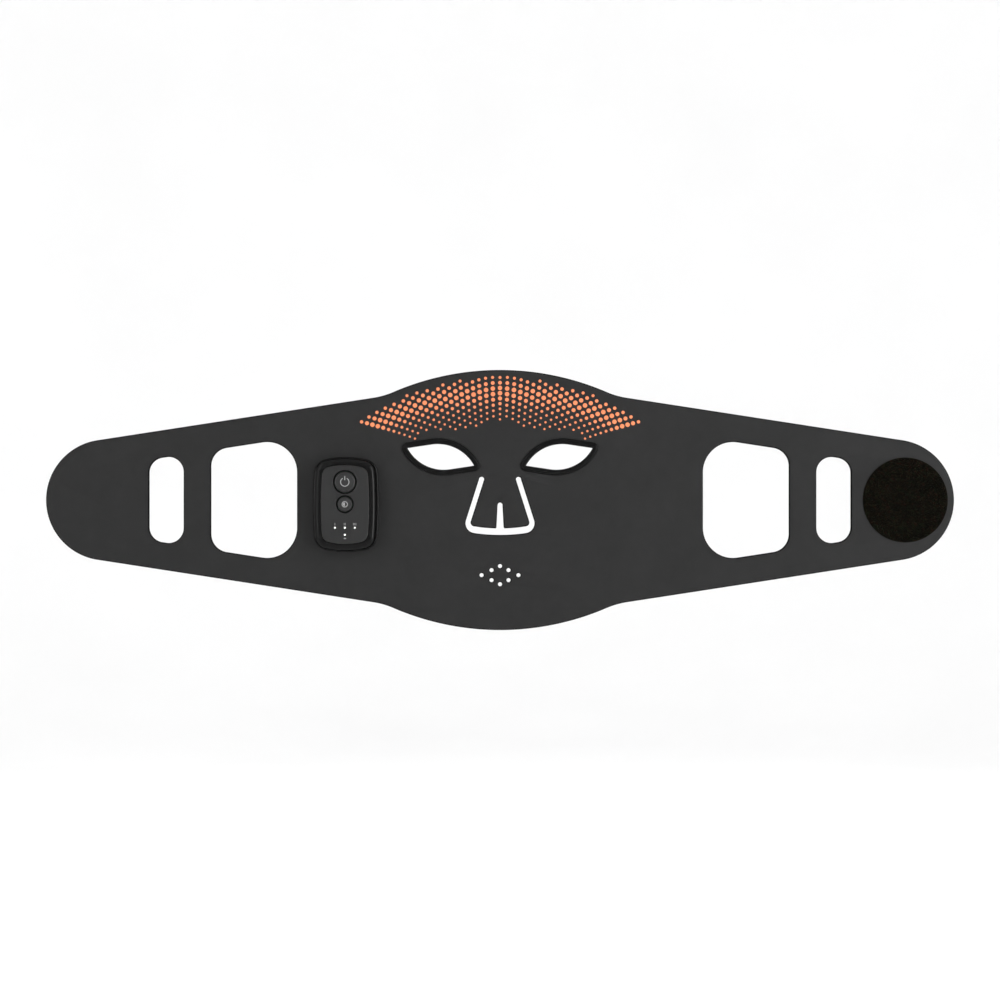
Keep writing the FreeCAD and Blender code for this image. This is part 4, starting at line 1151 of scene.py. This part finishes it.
# ---------------------------------------------------------------- the skins
def build_skins():
    s = bpy.context.scene.mask_sheet
    shared = [sheet_rim()] + strap_openings() + [nose_cut()] + mouth_holes()
    outer = shared + [grown_eye(side, s.rim_wall) for side in (-1, 1)]
    inner = shared + [grown_eye(side, s.rim_rear) for side in (-1, 1)]
    for places in lens_places().values():
        inner += [circle(u, v, s.lens_radius) for u, v in places]
    inner.append(circle(*disc_place("loop_disc")))
    layers = (
        ("outer skin", "outer_skin", outer, s.inner_depth, s.front_depth, s.outer_edge),
        ("inner skin", "inner_skin", inner, 0.0, s.inner_depth, s.inner_edge),
    )
    for name, slot, outlines, low, high, edge in layers:
        bm = layer(outlines, low, high, edge)
        # The second slot is painted shade on the edge faces.
        skin = [material(slot), material("shaded_skin_edge")]
        flap = new_object("Nose flap " + name, cut_flap(bm), skin)
        fold_v = s.nose_top + FOLD_ABOVE
        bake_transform(flap, "face", "nose_flap", place(0, fold_v, 0), place(0, fold_v - s.fold_reach, 0))
        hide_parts("nose_flap_" + slot)
        split_and_bend(name, bm, skin)
    for word in ("left", "right"):
        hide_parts(word + "_cheek_outer_skin")
        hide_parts(word + "_ear_band")
        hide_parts(word + "_strap_end")
        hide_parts(word + "_cheek_inner_skin")
    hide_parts("centre_outer_skin")
    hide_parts("centre_inner_skin")


def build_rims():
    """Glossy rims that line the eye openings: a bead in front, a neck and a flat rear flange."""
    s = bpy.context.scene.mask_sheet
    flange, neck, chamfer = s.rim_rear - 0.1 * MM, s.rim_wall - 0.05 * MM, 0.3 * MM
    profile = [(0, chamfer), (chamfer, 0), (flange, 0), (flange, s.inner_depth)]
    profile += [(neck, s.inner_depth), (neck, s.front_depth)]
    profile += [(s.rim_width * d, s.front_depth + s.rim_height * w) for d, w in BEAD]
    for side, word in SIDES:
        pairs = eye_leaf(side)
        rings = [
            [place(p[0] + n[0] * d, p[1] + n[1] * d, w) for p, n in pairs] for d, w in profile
        ]
        rim = new_object(word.capitalize() + " eye rim", loft(rings), [material("eye_rim")], 50)
        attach(rim, "face")
        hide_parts(word + "_eye_rim")


# ---------------------------------------------------------------- lights and their circuit
def build_lights():
    """Windows, diodes and the flexible circuit, split and bent with the skin round them."""
    s = bpy.context.scene.mask_sheet
    places = lens_places()
    depth, radius = s.inner_depth, s.lens_radius
    window = [(0, 0.12 * MM), (radius * 0.5, 0.05 * MM), (radius * 0.8, 0.0), (radius * 0.96, 0.03 * MM)]
    window += [(radius - 0.02 * MM, 0.12 * MM), (radius - 0.02 * MM, depth), (0, depth)]
    package = [(0, -0.25 * MM), (1.1 * MM, -0.2 * MM), (1.35 * MM, 0.0), (1.4 * MM, 0.5 * MM), (0, 0.5 * MM)]
    cheek = bend_line("right_cheek")
    zone_ends = (cheek - s.bend_before, cheek + s.bend_after)
    for side, word in SIDES:
        zone = tuple(side * end for end in zone_ends)
        kept = {}
        for kind, found in places.items():
            kept[kind] = [p for p in found if (p[0] - s.middle_seam) * side > 0]
        lenses = [place(u, v, 0) for found in kept.values() for u, v in found]
        rows = [("lenses", "led_lens", lenses, window)]
        for kind, found in kept.items():
            seats = [place(u, v, depth - 0.05 * MM) for u, v in found]
            rows.append((kind.replace("_", " "), kind[:-1], seats, package))
        for name, slot, points, profile in rows:
            steps = 20 if slot == "led_lens" else 12
            piece = scatter(word.capitalize() + " " + name, points, element(profile, steps), material(slot))
            bend_with(piece, "face", word + "_cheek", zone)
            nodes = [word + "_cheek_" + name.replace(" ", "_").replace("lenses", "led_lenses")]
            if side < 0:
                nodes.append(nodes[0].replace("left_cheek", "centre"))
            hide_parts(*nodes)
    parts = [node_mesh(segment + "_flex_circuit") for segment in SEGMENTS]
    made = split_and_bend("flexible circuit", joined(parts), [material("flex_circuit")], ("face",))
    for label, piece in made.items():
        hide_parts(label.split()[0] + "_cheek_flex_circuit")
    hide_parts("centre_flex_circuit")


# ---------------------------------------------------------------- fastening discs
def hook_shape():
    """One tiny hook: a tapering strand that leans over at its top."""
    spine = [(0, 0, 0.11), (0.02, 0.28, 0.085), (0.06, 0.5, 0.075), (0.19, 0.62, 0.065), (0.31, 0.5, 0.04)]
    rings = []
    for u, w, radius in spine:
        rings.append(
            [Vector((u + radius * math.cos(a), -w, radius * math.sin(a))) * MM for a in turns(3)]
        )
    return loft(rings, closed_profile=False)


def sunflower(radius, pitch):
    """Even spread of places over a disc, as (u, v) pairs from its centre."""
    count = int(math.pi * radius**2 / pitch**2)
    golden = math.pi * (3 - math.sqrt(5))
    return [
        (radius * math.sqrt((i + 0.5) / count) * math.cos(i * golden),
         radius * math.sqrt((i + 0.5) / count) * math.sin(i * golden))
        for i in range(count)
    ]


def build_discs():
    s = bpy.context.scene.mask_sheet
    front = s.front_depth
    u, v, radius = disc_place("hook_disc")
    pad = front + 0.75 * MM      # the tape's base; the hooks stand on it
    profile = [(0, front), (radius - 0.1 * MM, front), (radius, front + 0.1 * MM)]
    profile += [(radius, pad - 0.15 * MM), (radius - 0.15 * MM, pad), (radius * 0.5, pad), (0, pad)]
    base = new_object("Hook disc base", lathe(profile, (u, v), 128), [material("hook_tape")])
    places = [(u + a, v + b) for a, b in sunflower(radius - 0.5 * MM, 0.82 * MM)]
    sizes = [0.85 + 0.3 * ((i * 7) % 11) / 10 for i in range(len(places))]
    points = [place(a, b, pad - 0.02 * MM) for a, b in places]
    hooks = scatter("Hooks", points, hook_shape(), material("hooks"), sizes, math.pi, 0.25, 4)
    for piece in (base, hooks):
        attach(piece, "right_strap")
    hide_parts("hook_disc")
    u, v, radius = disc_place("loop_disc")
    depth, edge, back = s.inner_depth, radius - 0.05 * MM, 0.3 * MM
    profile = [(0, depth), (edge, depth), (edge, 0.45 * MM)]
    profile += [(radius - 0.3 * MM, back), (radius * 0.5, back), (0, back)]
    base = new_object("Loop disc base", lathe(profile, (u, v), 128), [material("loop_tape")])
    places = [(u + a, v + b) for a, b in sunflower(radius - 0.7 * MM, 1.05 * MM)]
    points = [place(a, b, 0.32 * MM) for a, b in places]
    tufts = scatter("Loops", points, loop_shape(), material("loop_tape"), None, math.pi, 0.35, 9)
    for piece in (base, tufts):
        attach(piece, "left_strap")
    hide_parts("loop_disc")


def loop_shape():
    """One small loop of yarn, standing up on the rear."""
    rings = []
    for step in range(6):
        turn = math.pi * step / 5
        centre = Vector((0.42 * math.cos(turn), 0.3 * math.sin(turn), 0.1 * math.cos(turn)))
        outward = Vector((math.cos(turn), math.sin(turn), 0))
        ring = []
        for angle in turns(3):
            reach = outward * (0.09 * math.cos(angle)) + Vector((0, 0, 0.09 * math.sin(angle)))
            ring.append((centre + reach) * MM)
        rings.append(ring)
    return loft(rings, closed_profile=False)


# ---------------------------------------------------------------- control unit
def unit_heights():
    """W of the unit's shoulder, of its plate's back and of its plate's middle."""
    s, unit = bpy.context.scene.mask_sheet, bpy.context.scene.mask_unit
    shoulder = s.front_depth + unit.depth
    return shoulder, shoulder - 1.3 * MM, shoulder + unit.proud


def plate_surface(u):
    """W of the crowned plate's face at a distance from the unit's middle line."""
    unit = bpy.context.scene.mask_unit
    return unit_heights()[2] - unit.crown * (2 * u / unit.plate_width) ** 2


def moved_ring(pairs, inset, w):
    """A ring of points from an outline, moved in, at the unit's place."""
    u0, v0 = unit_centre()
    return [place(u0 + p[0] - n[0] * inset, v0 + p[1] - n[1] * inset, w) for p, n in pairs]


def plate_pairs():
    unit = bpy.context.scene.mask_unit
    return cushion(
        unit.plate_width, unit.plate_height, unit.plate_side_bulge, unit.plate_end_bulge, unit.plate_corner
    )


def casing():
    """Tub with a foot, a step, a rounded shoulder, a recess for the plate and its cavity."""
    s, unit = bpy.context.scene.mask_sheet, bpy.context.scene.mask_unit
    outer = cushion(unit.width, unit.height, unit.side_bulge, unit.end_bulge, unit.corner)
    inner = plate_pairs()
    back = s.front_depth
    shoulder, seat, _ = unit_heights()
    rings = [moved_ring(outer, inset * MM, back + height * MM) for inset, height in CASING_FOOT]
    bend, step, steps = 4.0 * MM, CASING_FOOT[-1][0] * MM, 9
    for i in range(steps + 1):
        turn = math.pi / 2 * i / steps
        inset = step + bend * (1 - math.cos(turn))
        rings.append(moved_ring(outer, inset, shoulder - bend + bend * math.sin(turn)))
    ledge, ledge_back = 1.4, shoulder - 2.8 * MM
    lip = [(-0.35, shoulder), (-0.2, shoulder - 0.15 * MM), (-0.15, seat), (ledge, seat)]
    rings += [moved_ring(inner, inset * MM, w) for inset, w in lip + [(ledge, ledge_back)]]
    wall, floor, cavity_top = 2.2 * MM, 1.5 * MM, shoulder - 5.0 * MM
    rings.append(moved_ring(outer, bend, ledge_back))
    rings.append(moved_ring(outer, wall, cavity_top))
    rings.append(moved_ring(outer, wall, back + floor))
    return loft(rings, closed_profile=False)


def port_cutter():
    """Prism through the lower wall, shaped to the charging socket's mouth."""
    low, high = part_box("charging_socket")
    gap, length = 0.2 * MM, 6 * MM
    middle_y, half_y = (low.y + high.y) / 2, (high.y - low.y) / 2 + gap
    u0, half_u = (low.x + high.x) / 2, (high.x - low.x) / 2 + gap
    outline = arc_points((half_u - half_y, 0), half_y, -math.pi / 2, math.pi / 2)
    outline += arc_points((half_y - half_u, 0), half_y, math.pi / 2, math.pi * 1.5)
    rings = []
    for z in (low.z - length / 2, low.z + length / 2):
        rings.append([Vector((u0 + u, middle_y + y, z)) for u, y in outline])
    return loft(rings, closed_profile=False)


def face_plate():
    """Crowned plate with holes for the buttons and the light pipes."""
    unit = bpy.context.scene.mask_unit
    u0, v0 = unit_centre()
    _, seat, middle = unit_heights()
    outline = [(u0 + p[0], v0 + p[1]) for p, _ in plate_pairs()]
    holes = [circle(u0, v0 + v, radius + unit.button_ring) for v, radius in unit_buttons()]
    holes += [circle(u0 + u, v0 + v, unit.pipe + 0.1 * MM) for u, v in light_places()]
    bm = layer([outline] + holes, seat, middle, unit.plate_edge)
    for face in bm.faces:
        face.material_index = 0
    cuts = 32
    for i in range(1, cuts):
        cut_across(bm, (u0 + unit.plate_width * (i / cuts - 0.5), 0, 0), (1, 0, 0))
    for vert in bm.verts:
        share = (-vert.co.y - seat) / (middle - seat)
        drop = unit.crown * (2 * (vert.co.x - u0) / unit.plate_width) ** 2
        vert.co.y += drop * share
    return bm


def unit_buttons():
    """Height from the unit's middle and cap radius of both buttons."""
    unit = bpy.context.scene.mask_unit
    return ((unit.power_v, unit.power_radius), (unit.mode_v, unit.mode_radius))


def light_places():
    """Places of the level lights and of the charge light, from the unit's middle."""
    unit = bpy.context.scene.mask_unit
    levels = [(step * unit.level_step, unit.levels_v) for step in (-1, 0, 1)]
    return levels + [(0, unit.levels_v - unit.charge_step)]


def cap_profile(radius):
    """A button's section: dished face, soft edge, skirt and stem."""
    unit = bpy.context.scene.mask_unit
    top = unit_heights()[2] + unit.button_proud
    face, steps = radius * DISH_REACH, 6
    skirt, stem_radius, stem = top - 3.2 * MM, 1.5 * MM, top - 4.2 * MM
    profile = [(0, top - unit.dish)]
    for i in range(1, steps + 1):
        profile.append((face * i / steps, top - unit.dish * (1 - (i / steps) ** 2)))
    for share, drop in ((0.86, 0.04), (0.93, 0.25), (0.98, 0.6), (1.0, 1.0)):
        profile.append((radius * share, top - drop * MM))
    return profile + [(radius, skirt), (stem_radius, skirt), (stem_radius, stem), (0, stem)]


def cap_surface(distance, radius):
    """W of a button's dished face at a distance from its middle."""
    unit = bpy.context.scene.mask_unit
    top = unit_heights()[2] + unit.button_proud
    return top - unit.dish * (1 - min(1.0, distance / (radius * DISH_REACH)) ** 2)


def ring_profile(radius):
    """Glossy ring that lines a button's hole, a little below the plate's face; its near-black colour is
    painted shade of the gap round the button.
    """
    unit = bpy.context.scene.mask_unit
    inner, outer = radius + unit.button_gap, radius + unit.button_ring - 0.02 * MM
    low, top = unit_heights()[1] + 0.1 * MM, plate_surface(outer) - 0.1 * MM
    return [(inner, low), (outer, low), (outer, top), (outer - 0.2 * MM, top), (inner, top - 0.5 * MM)]


def ring_mesh(profile, centre, steps=96):
    return loft([ring_at(centre, radius, w, steps) for radius, w in profile])


def printed(outlines, u, v, surface):
    """Marks of ink that follow a surface; surface gives W for a point from the marks' own middle."""
    unit = bpy.context.scene.mask_unit
    moved = [[(u + a, v + b) for a, b in outline] for outline in outlines]
    bm = layer(moved, 0, unit.ink, 0, 0)
    for face in bm.faces:
        face.material_index = 0
    centre = place(u, v, 0)
    for vert in bm.verts:
        vert.co.y -= surface(vert.co.x - centre.x, vert.co.z - centre.z)
    return bm


def stroke_arc(radius, width, start, end):
    """Closed outline of a round stroke with round ends."""
    outer = arc_points((0, 0), radius + width / 2, start, end)
    inner = arc_points((0, 0), radius - width / 2, end, start)
    first = (radius * math.cos(end), radius * math.sin(end))
    last = (radius * math.cos(start), radius * math.sin(start))
    cap = arc_points(first, width / 2, end, end + math.pi)[1:-1]
    foot = arc_points(last, width / 2, start + math.pi, start + 2 * math.pi)[1:-1]
    return clean(outer + cap + inner + foot)


def bar(u, v, width, height):
    return [
        (u - width / 2, v - height / 2),
        (u + width / 2, v - height / 2),
        (u + width / 2, v + height / 2),
        (u - width / 2, v + height / 2),
    ]


def button_marks():
    """A power symbol and, for the mode button, a plain half-filled circle."""
    width, opening, top = 0.52 * MM, math.radians(32), math.pi / 2
    power = [stroke_arc(2.75 * MM, width, top + opening, top - opening + 2 * math.pi)]
    power.append(bar(0, 2.5 * MM, width, 2.6 * MM))
    outer, inner, half_disc = 2.0 * MM, 1.5 * MM, 1.15 * MM
    mode = [circle(0, 0, outer), circle(0, 0, inner), arc_points((0, 0), half_disc, top, math.pi * 1.5)]
    return power, mode


def build_unit():
    u0, v0 = unit_centre()
    body = new_object("Unit casing", casing(), [material("unit_casing")], 40)
    cutter = new_object("Port cutter", port_cutter(), [material("unit_casing")])
    cut = body.modifiers.new("Port", "BOOLEAN")
    cut.operation, cut.solver, cut.object = "DIFFERENCE", "EXACT", cutter
    depsgraph = bpy.context.evaluated_depsgraph_get()
    mesh = bpy.data.meshes.new_from_object(body.evaluated_get(depsgraph))
    body.modifiers.clear()
    body.data = mesh
    bpy.data.objects.remove(cutter)
    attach(body, "left_cheek")
    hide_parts("unit_base")
    plate = new_object("Face plate", face_plate(), [material("unit_plate")], 30)
    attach(plate, "left_cheek")
    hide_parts("unit_face_plate")
    marks = button_marks()
    names = (("power_button", "Power button"), ("mode_button", "Mode button"))
    for (v, radius), outlines, (node, name) in zip(unit_buttons(), marks, names):
        cap = new_object(name, lathe(cap_profile(radius), (u0, v0 + v), 96), [material("button_cap")])
        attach(cap, node)
        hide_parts(node)
        # A near-black ring in the hole paints the gap's shade round the button.
        gap_shade_liner = ring_mesh(ring_profile(radius), (u0, v0 + v))
        ring = new_object(name + " ring", gap_shade_liner, [material("painted_gap_shade")])
        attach(ring, "left_cheek")

        def on_cap(u, v, radius=radius):
            return cap_surface(math.hypot(u, v), radius)

        mark = new_object(name + " mark", printed(outlines, u0, v0 + v, on_cap), [material("mark")])
        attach(mark, node)
    build_unit_lights(u0, v0)


def build_unit_lights(u0, v0):
    """Light pipes' lenses with one, two and three small bars above them and a battery mark."""
    unit = bpy.context.scene.mask_unit
    lenses, marks = [], []
    bar_pitch, bar_width, bar_height, bar_v = 0.8 * MM, 0.34 * MM, 1.6 * MM, 2.3 * MM
    *levels, charge = light_places()
    for u, v in levels + [charge]:
        top = plate_surface(u)
        foot = top - 1.2 * MM
        profile = [(0, top + 0.1 * MM), (unit.pipe * 0.6, top + 0.06 * MM), (unit.pipe, top - 0.1 * MM)]
        lenses.append(lathe(profile + [(unit.pipe, foot), (0, foot)], (u0 + u, v0 + v), 24))
    for count, (u, v) in enumerate(levels, 1):
        offsets = [bar_pitch * (k - (count - 1) / 2) for k in range(count)]
        bars = [bar(offset, bar_v, bar_width, bar_height) for offset in offsets]
        marks.append(printed(bars, u0 + u, v0 + v, lambda a, b, u=u: plate_surface(u + a)))
    below = charge[1] - 2.4 * MM
    cell = [bar(0, 0, 1.3 * MM, 0.75 * MM), bar(0.85 * MM, 0, 0.2 * MM, 0.4 * MM)]
    marks.append(printed(cell, u0, v0 + below, lambda a, b: plate_surface(a)))
    lens = new_object("Unit lights", joined(lenses), [material("light")])
    mark = new_object("Unit marks", joined(marks), [material("faint_mark")])
    for piece, slot in ((lens, "light_guide"), (mark, "unit_plate")):
        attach(piece, "left_cheek")


# ---------------------------------------------------------------- printed forehead pattern
def print_dots():
    """Dots of the print on the right half: (u, v, radius) rising along lines from the middle."""
    dots = bpy.context.scene.mask_print
    columns, reach = [0.0], 0.0
    while reach < dots.column_reach:
        step = dots.column_pitch + dots.column_extra * math.exp((1 - len(columns)) / 5)
        reach += step
        columns.append(reach)
    found = []
    for column in columns:
        for row in range(dots.side_lines):
            d = column
            for _ in range(2):
                growth = dots.pitch_growth * (1 - math.exp(-d / dots.growth_reach))
                rise = dots.rise * d - dots.rise_fall * d * d
                v = dots.top_v + rise - row * (dots.dot_pitch + growth)
                d = column * (1 - dots.lean * (dots.top_v - v))
            if not 0 <= d < dots.arch_radius * 0.6:
                continue
            edge = dots.top_v - dots.arch_radius + math.sqrt(dots.arch_radius**2 - d * d)
            if v > edge + dots.edge_slack or v < print_foot(d):
                continue
            depth = edge - v
            swell = math.exp(-(((depth - dots.swell_depth) / dots.swell_reach) ** 2))
            found.append((d, v, dots.dot_small + dots.dot_swell * swell))
    return found


def print_foot(d):
    """Lower edge of the print at a distance from the middle."""
    dots = bpy.context.scene.mask_print
    fall = dots.foot_drop * min(1.0, d / dots.foot_round) ** 2
    return dots.foot_v - fall - dots.foot_slope * max(0.0, d - dots.foot_level)


def build_print():
    s, dots = bpy.context.scene.mask_sheet, bpy.context.scene.mask_print
    cheek = bend_line("right_cheek")
    half = print_dots()
    whole = half + [(-u, v, radius) for u, v, radius in half if u > 0]
    profile = [(0, dots.ink), (0.97, dots.ink), (1.0, dots.ink * 0.6), (1.0, 0), (0, 0)]
    for side, word in SIDES:
        chosen = [dot for dot in whole if (dot[0] - s.middle_seam) * side > 0]
        points = [place(u, v, s.front_depth) for u, v, _ in chosen]
        sizes = [radius for _, _, radius in chosen]
        name = word.capitalize() + " print"
        piece = scatter(name, points, element(profile, 16), material("print"), sizes)
        zone = (side * (cheek - s.bend_before), side * (cheek + s.bend_after))
        bend_with(piece, "face", word + "_cheek", zone)


# ---------------------------------------------------------------- what lies inside the unit
INSIDE = {
    "unit_plate_tape": "adhesive_tape",
    "unit_light_guide": "light_guide",
    "unit_backing_plate": "backing_plate",
    "unit_mounting_screws": "steel",
    "control_board": "circuit_board",
    "control_board_screws": "steel",
    "tactile_switches": "steel",
    "driver_chip": "component_body",
    "signal_leds": "signal_led",
    "battery": "battery_cell",
    "charging_socket": "steel",
    "ribbon_cable": "flex_circuit",
    "ribbon_connector": "component_body",
    "power_switch_plunger": "component_body",
    "mode_switch_plunger": "component_body",
}


def finish_inside():
    for node, name in INSIDE.items():
        mesh = bpy.data.objects[node].data
        mesh.materials.clear()
        mesh.materials.append(material(name))


# ---------------------------------------------------------------- studio
def cove():
    """Round floor whose rim rises into a wall, so no edge shows behind the mask."""
    stage = bpy.context.scene.mask_stage
    floor, radius, bend, wall = -stage.drop, stage.radius, stage.bend, stage.wall
    profile = [(radius / 2, floor)]
    steps = 16
    for i in range(steps + 1):
        turn = math.pi / 2 * i / steps
        profile.append((radius - bend + bend * math.sin(turn), floor + bend * (1 - math.cos(turn))))
    profile.append((radius, floor + wall))
    bm = bmesh.new()
    rings = []
    for r, z in profile:
        rings.append([bm.verts.new((r * math.cos(a), r * math.sin(a), z)) for a in turns(96)])
    bridge(bm, rings)
    bm.faces.new(rings[0])
    bmesh.ops.recalc_face_normals(bm, faces=bm.faces)
    return bm


LAMPS = (                    # name, place, width and height, in metres
    ("Key", (-1.0, -0.95, 0.3), 0.22, 1.2),
    ("Fill", (1.15, -0.9, 0.15), 0.45, 1.3),
    ("Back", (0.2, 1.2, 0.9), 1.2, 0.8),
)


def area_light(name, place_at, width, height, power, aim):
    light = bpy.data.lights.new(name, "AREA")
    light.shape, light.size, light.size_y, light.energy = "RECTANGLE", width, height, power
    lamp = bpy.data.objects.new(name, light)
    bpy.context.scene.collection.objects.link(lamp)
    lamp.location = place_at
    lamp.rotation_euler = (Vector(aim) - Vector(place_at)).to_track_quat("-Z", "Y").to_euler()
    lamp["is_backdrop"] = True


def build_studio():
    scene, stage = bpy.context.scene, bpy.context.scene.mask_stage
    paint = Paint("Studio paper", metallic=0.0)
    paint.colour(paint.noise(3, 2, 0.5), [(0.3, grey(0.93)), (0.7, grey(0.95))])
    paint.rough(paint.noise(20, 3, 0.5), 0.3, 0.7, 0.85, 0.95)
    floor = new_object("Studio floor", cove(), [paint.material])
    floor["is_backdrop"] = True
    world = bpy.data.worlds.new("Studio")
    scene.world = world
    world.use_nodes = True
    world.node_tree.nodes["Background"].inputs["Color"].default_value = (1, 1, 1, 1)
    world.node_tree.nodes["Background"].inputs["Strength"].default_value = stage.ambient
    low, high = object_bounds()
    middle = (Vector(low) + Vector(high)) / 2
    for name, place_at, width, height in LAMPS:
        area_light(name, place_at, width, height, getattr(stage, name.lower()), middle)
    camera = bpy.data.cameras.new("Camera")
    camera.lens, camera.sensor_width = stage.lens, 36
    viewer = bpy.data.objects.new("Camera", camera)
    scene.collection.objects.link(viewer)
    viewer.location = (middle.x, middle.y - stage.distance, middle.z)
    viewer.rotation_euler = (math.pi / 2, 0, 0)
    viewer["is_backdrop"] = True
    scene.camera = viewer
    scene.view_settings.view_transform = "Standard"


# ---------------------------------------------------------------- add-on
class MASK_OT_skins(bpy.types.Operator):
    """Build both silicone skins and the nose flap"""

    bl_idname = "mask.skins"
    bl_label = "Skins and nose flap"

    def execute(self, context):
        build_skins()
        return {"FINISHED"}


class MASK_OT_rims(bpy.types.Operator):
    """Build the glossy rims round the eye openings"""

    bl_idname = "mask.rims"
    bl_label = "Eye rims"

    def execute(self, context):
        build_rims()
        return {"FINISHED"}


class MASK_OT_lights(bpy.types.Operator):
    """Build windows, diodes and the flexible circuit"""

    bl_idname = "mask.lights"
    bl_label = "Lights and circuit"

    def execute(self, context):
        build_lights()
        return {"FINISHED"}


class MASK_OT_discs(bpy.types.Operator):
    """Build the hook disc and the loop disc"""

    bl_idname = "mask.discs"
    bl_label = "Fastening discs"

    def execute(self, context):
        build_discs()
        return {"FINISHED"}


class MASK_OT_unit(bpy.types.Operator):
    """Build casing, face plate, buttons and marks"""

    bl_idname = "mask.unit"
    bl_label = "Control unit"

    def execute(self, context):
        build_unit()
        return {"FINISHED"}


class MASK_OT_forehead(bpy.types.Operator):
    """Build the printed dots"""

    bl_idname = "mask.forehead"
    bl_label = "Forehead print"

    def execute(self, context):
        build_print()
        return {"FINISHED"}


class MASK_OT_inside(bpy.types.Operator):
    """Give what lies inside its finishes"""

    bl_idname = "mask.inside"
    bl_label = "Inside of the unit"

    def execute(self, context):
        finish_inside()
        return {"FINISHED"}


class MASK_OT_studio(bpy.types.Operator):
    """Build floor, lights and camera"""

    bl_idname = "mask.studio"
    bl_label = "Studio"

    def execute(self, context):
        build_studio()
        return {"FINISHED"}


OPERATORS = (
    MASK_OT_skins,
    MASK_OT_rims,
    MASK_OT_lights,
    MASK_OT_discs,
    MASK_OT_unit,
    MASK_OT_forehead,
    MASK_OT_inside,
    MASK_OT_studio,
)


class MASK_PT_panel(bpy.types.Panel):
    """Buttons for every piece of the mask"""

    bl_label = "LED Face Mask"
    bl_space_type = "VIEW_3D"
    bl_region_type = "UI"
    bl_category = "Mask"

    def draw(self, context):
        for operator in OPERATORS:
            self.layout.operator(operator.bl_idname)


SETTINGS = (
    ("mask_sheet", SheetSizes),
    ("mask_print", PrintSizes),
    ("mask_unit", UnitSizes),
    ("mask_colours", Colours),
    ("mask_stage", StageSizes),
)


def register():
    for name, group in SETTINGS:
        bpy.utils.register_class(group)
        setattr(bpy.types.Scene, name, bpy.props.PointerProperty(type=group))
    for operator in OPERATORS:
        bpy.utils.register_class(operator)
    bpy.utils.register_class(MASK_PT_panel)


def unregister():
    bpy.utils.unregister_class(MASK_PT_panel)
    for operator in reversed(OPERATORS):
        bpy.utils.unregister_class(operator)
    for name, group in reversed(SETTINGS):
        delattr(bpy.types.Scene, name)
        bpy.utils.unregister_class(group)


def main():
    register()
    for operator in OPERATORS:
        getattr(bpy.ops.mask, operator.bl_idname.split(".")[1])()


if __name__ == "__main__":
    main()
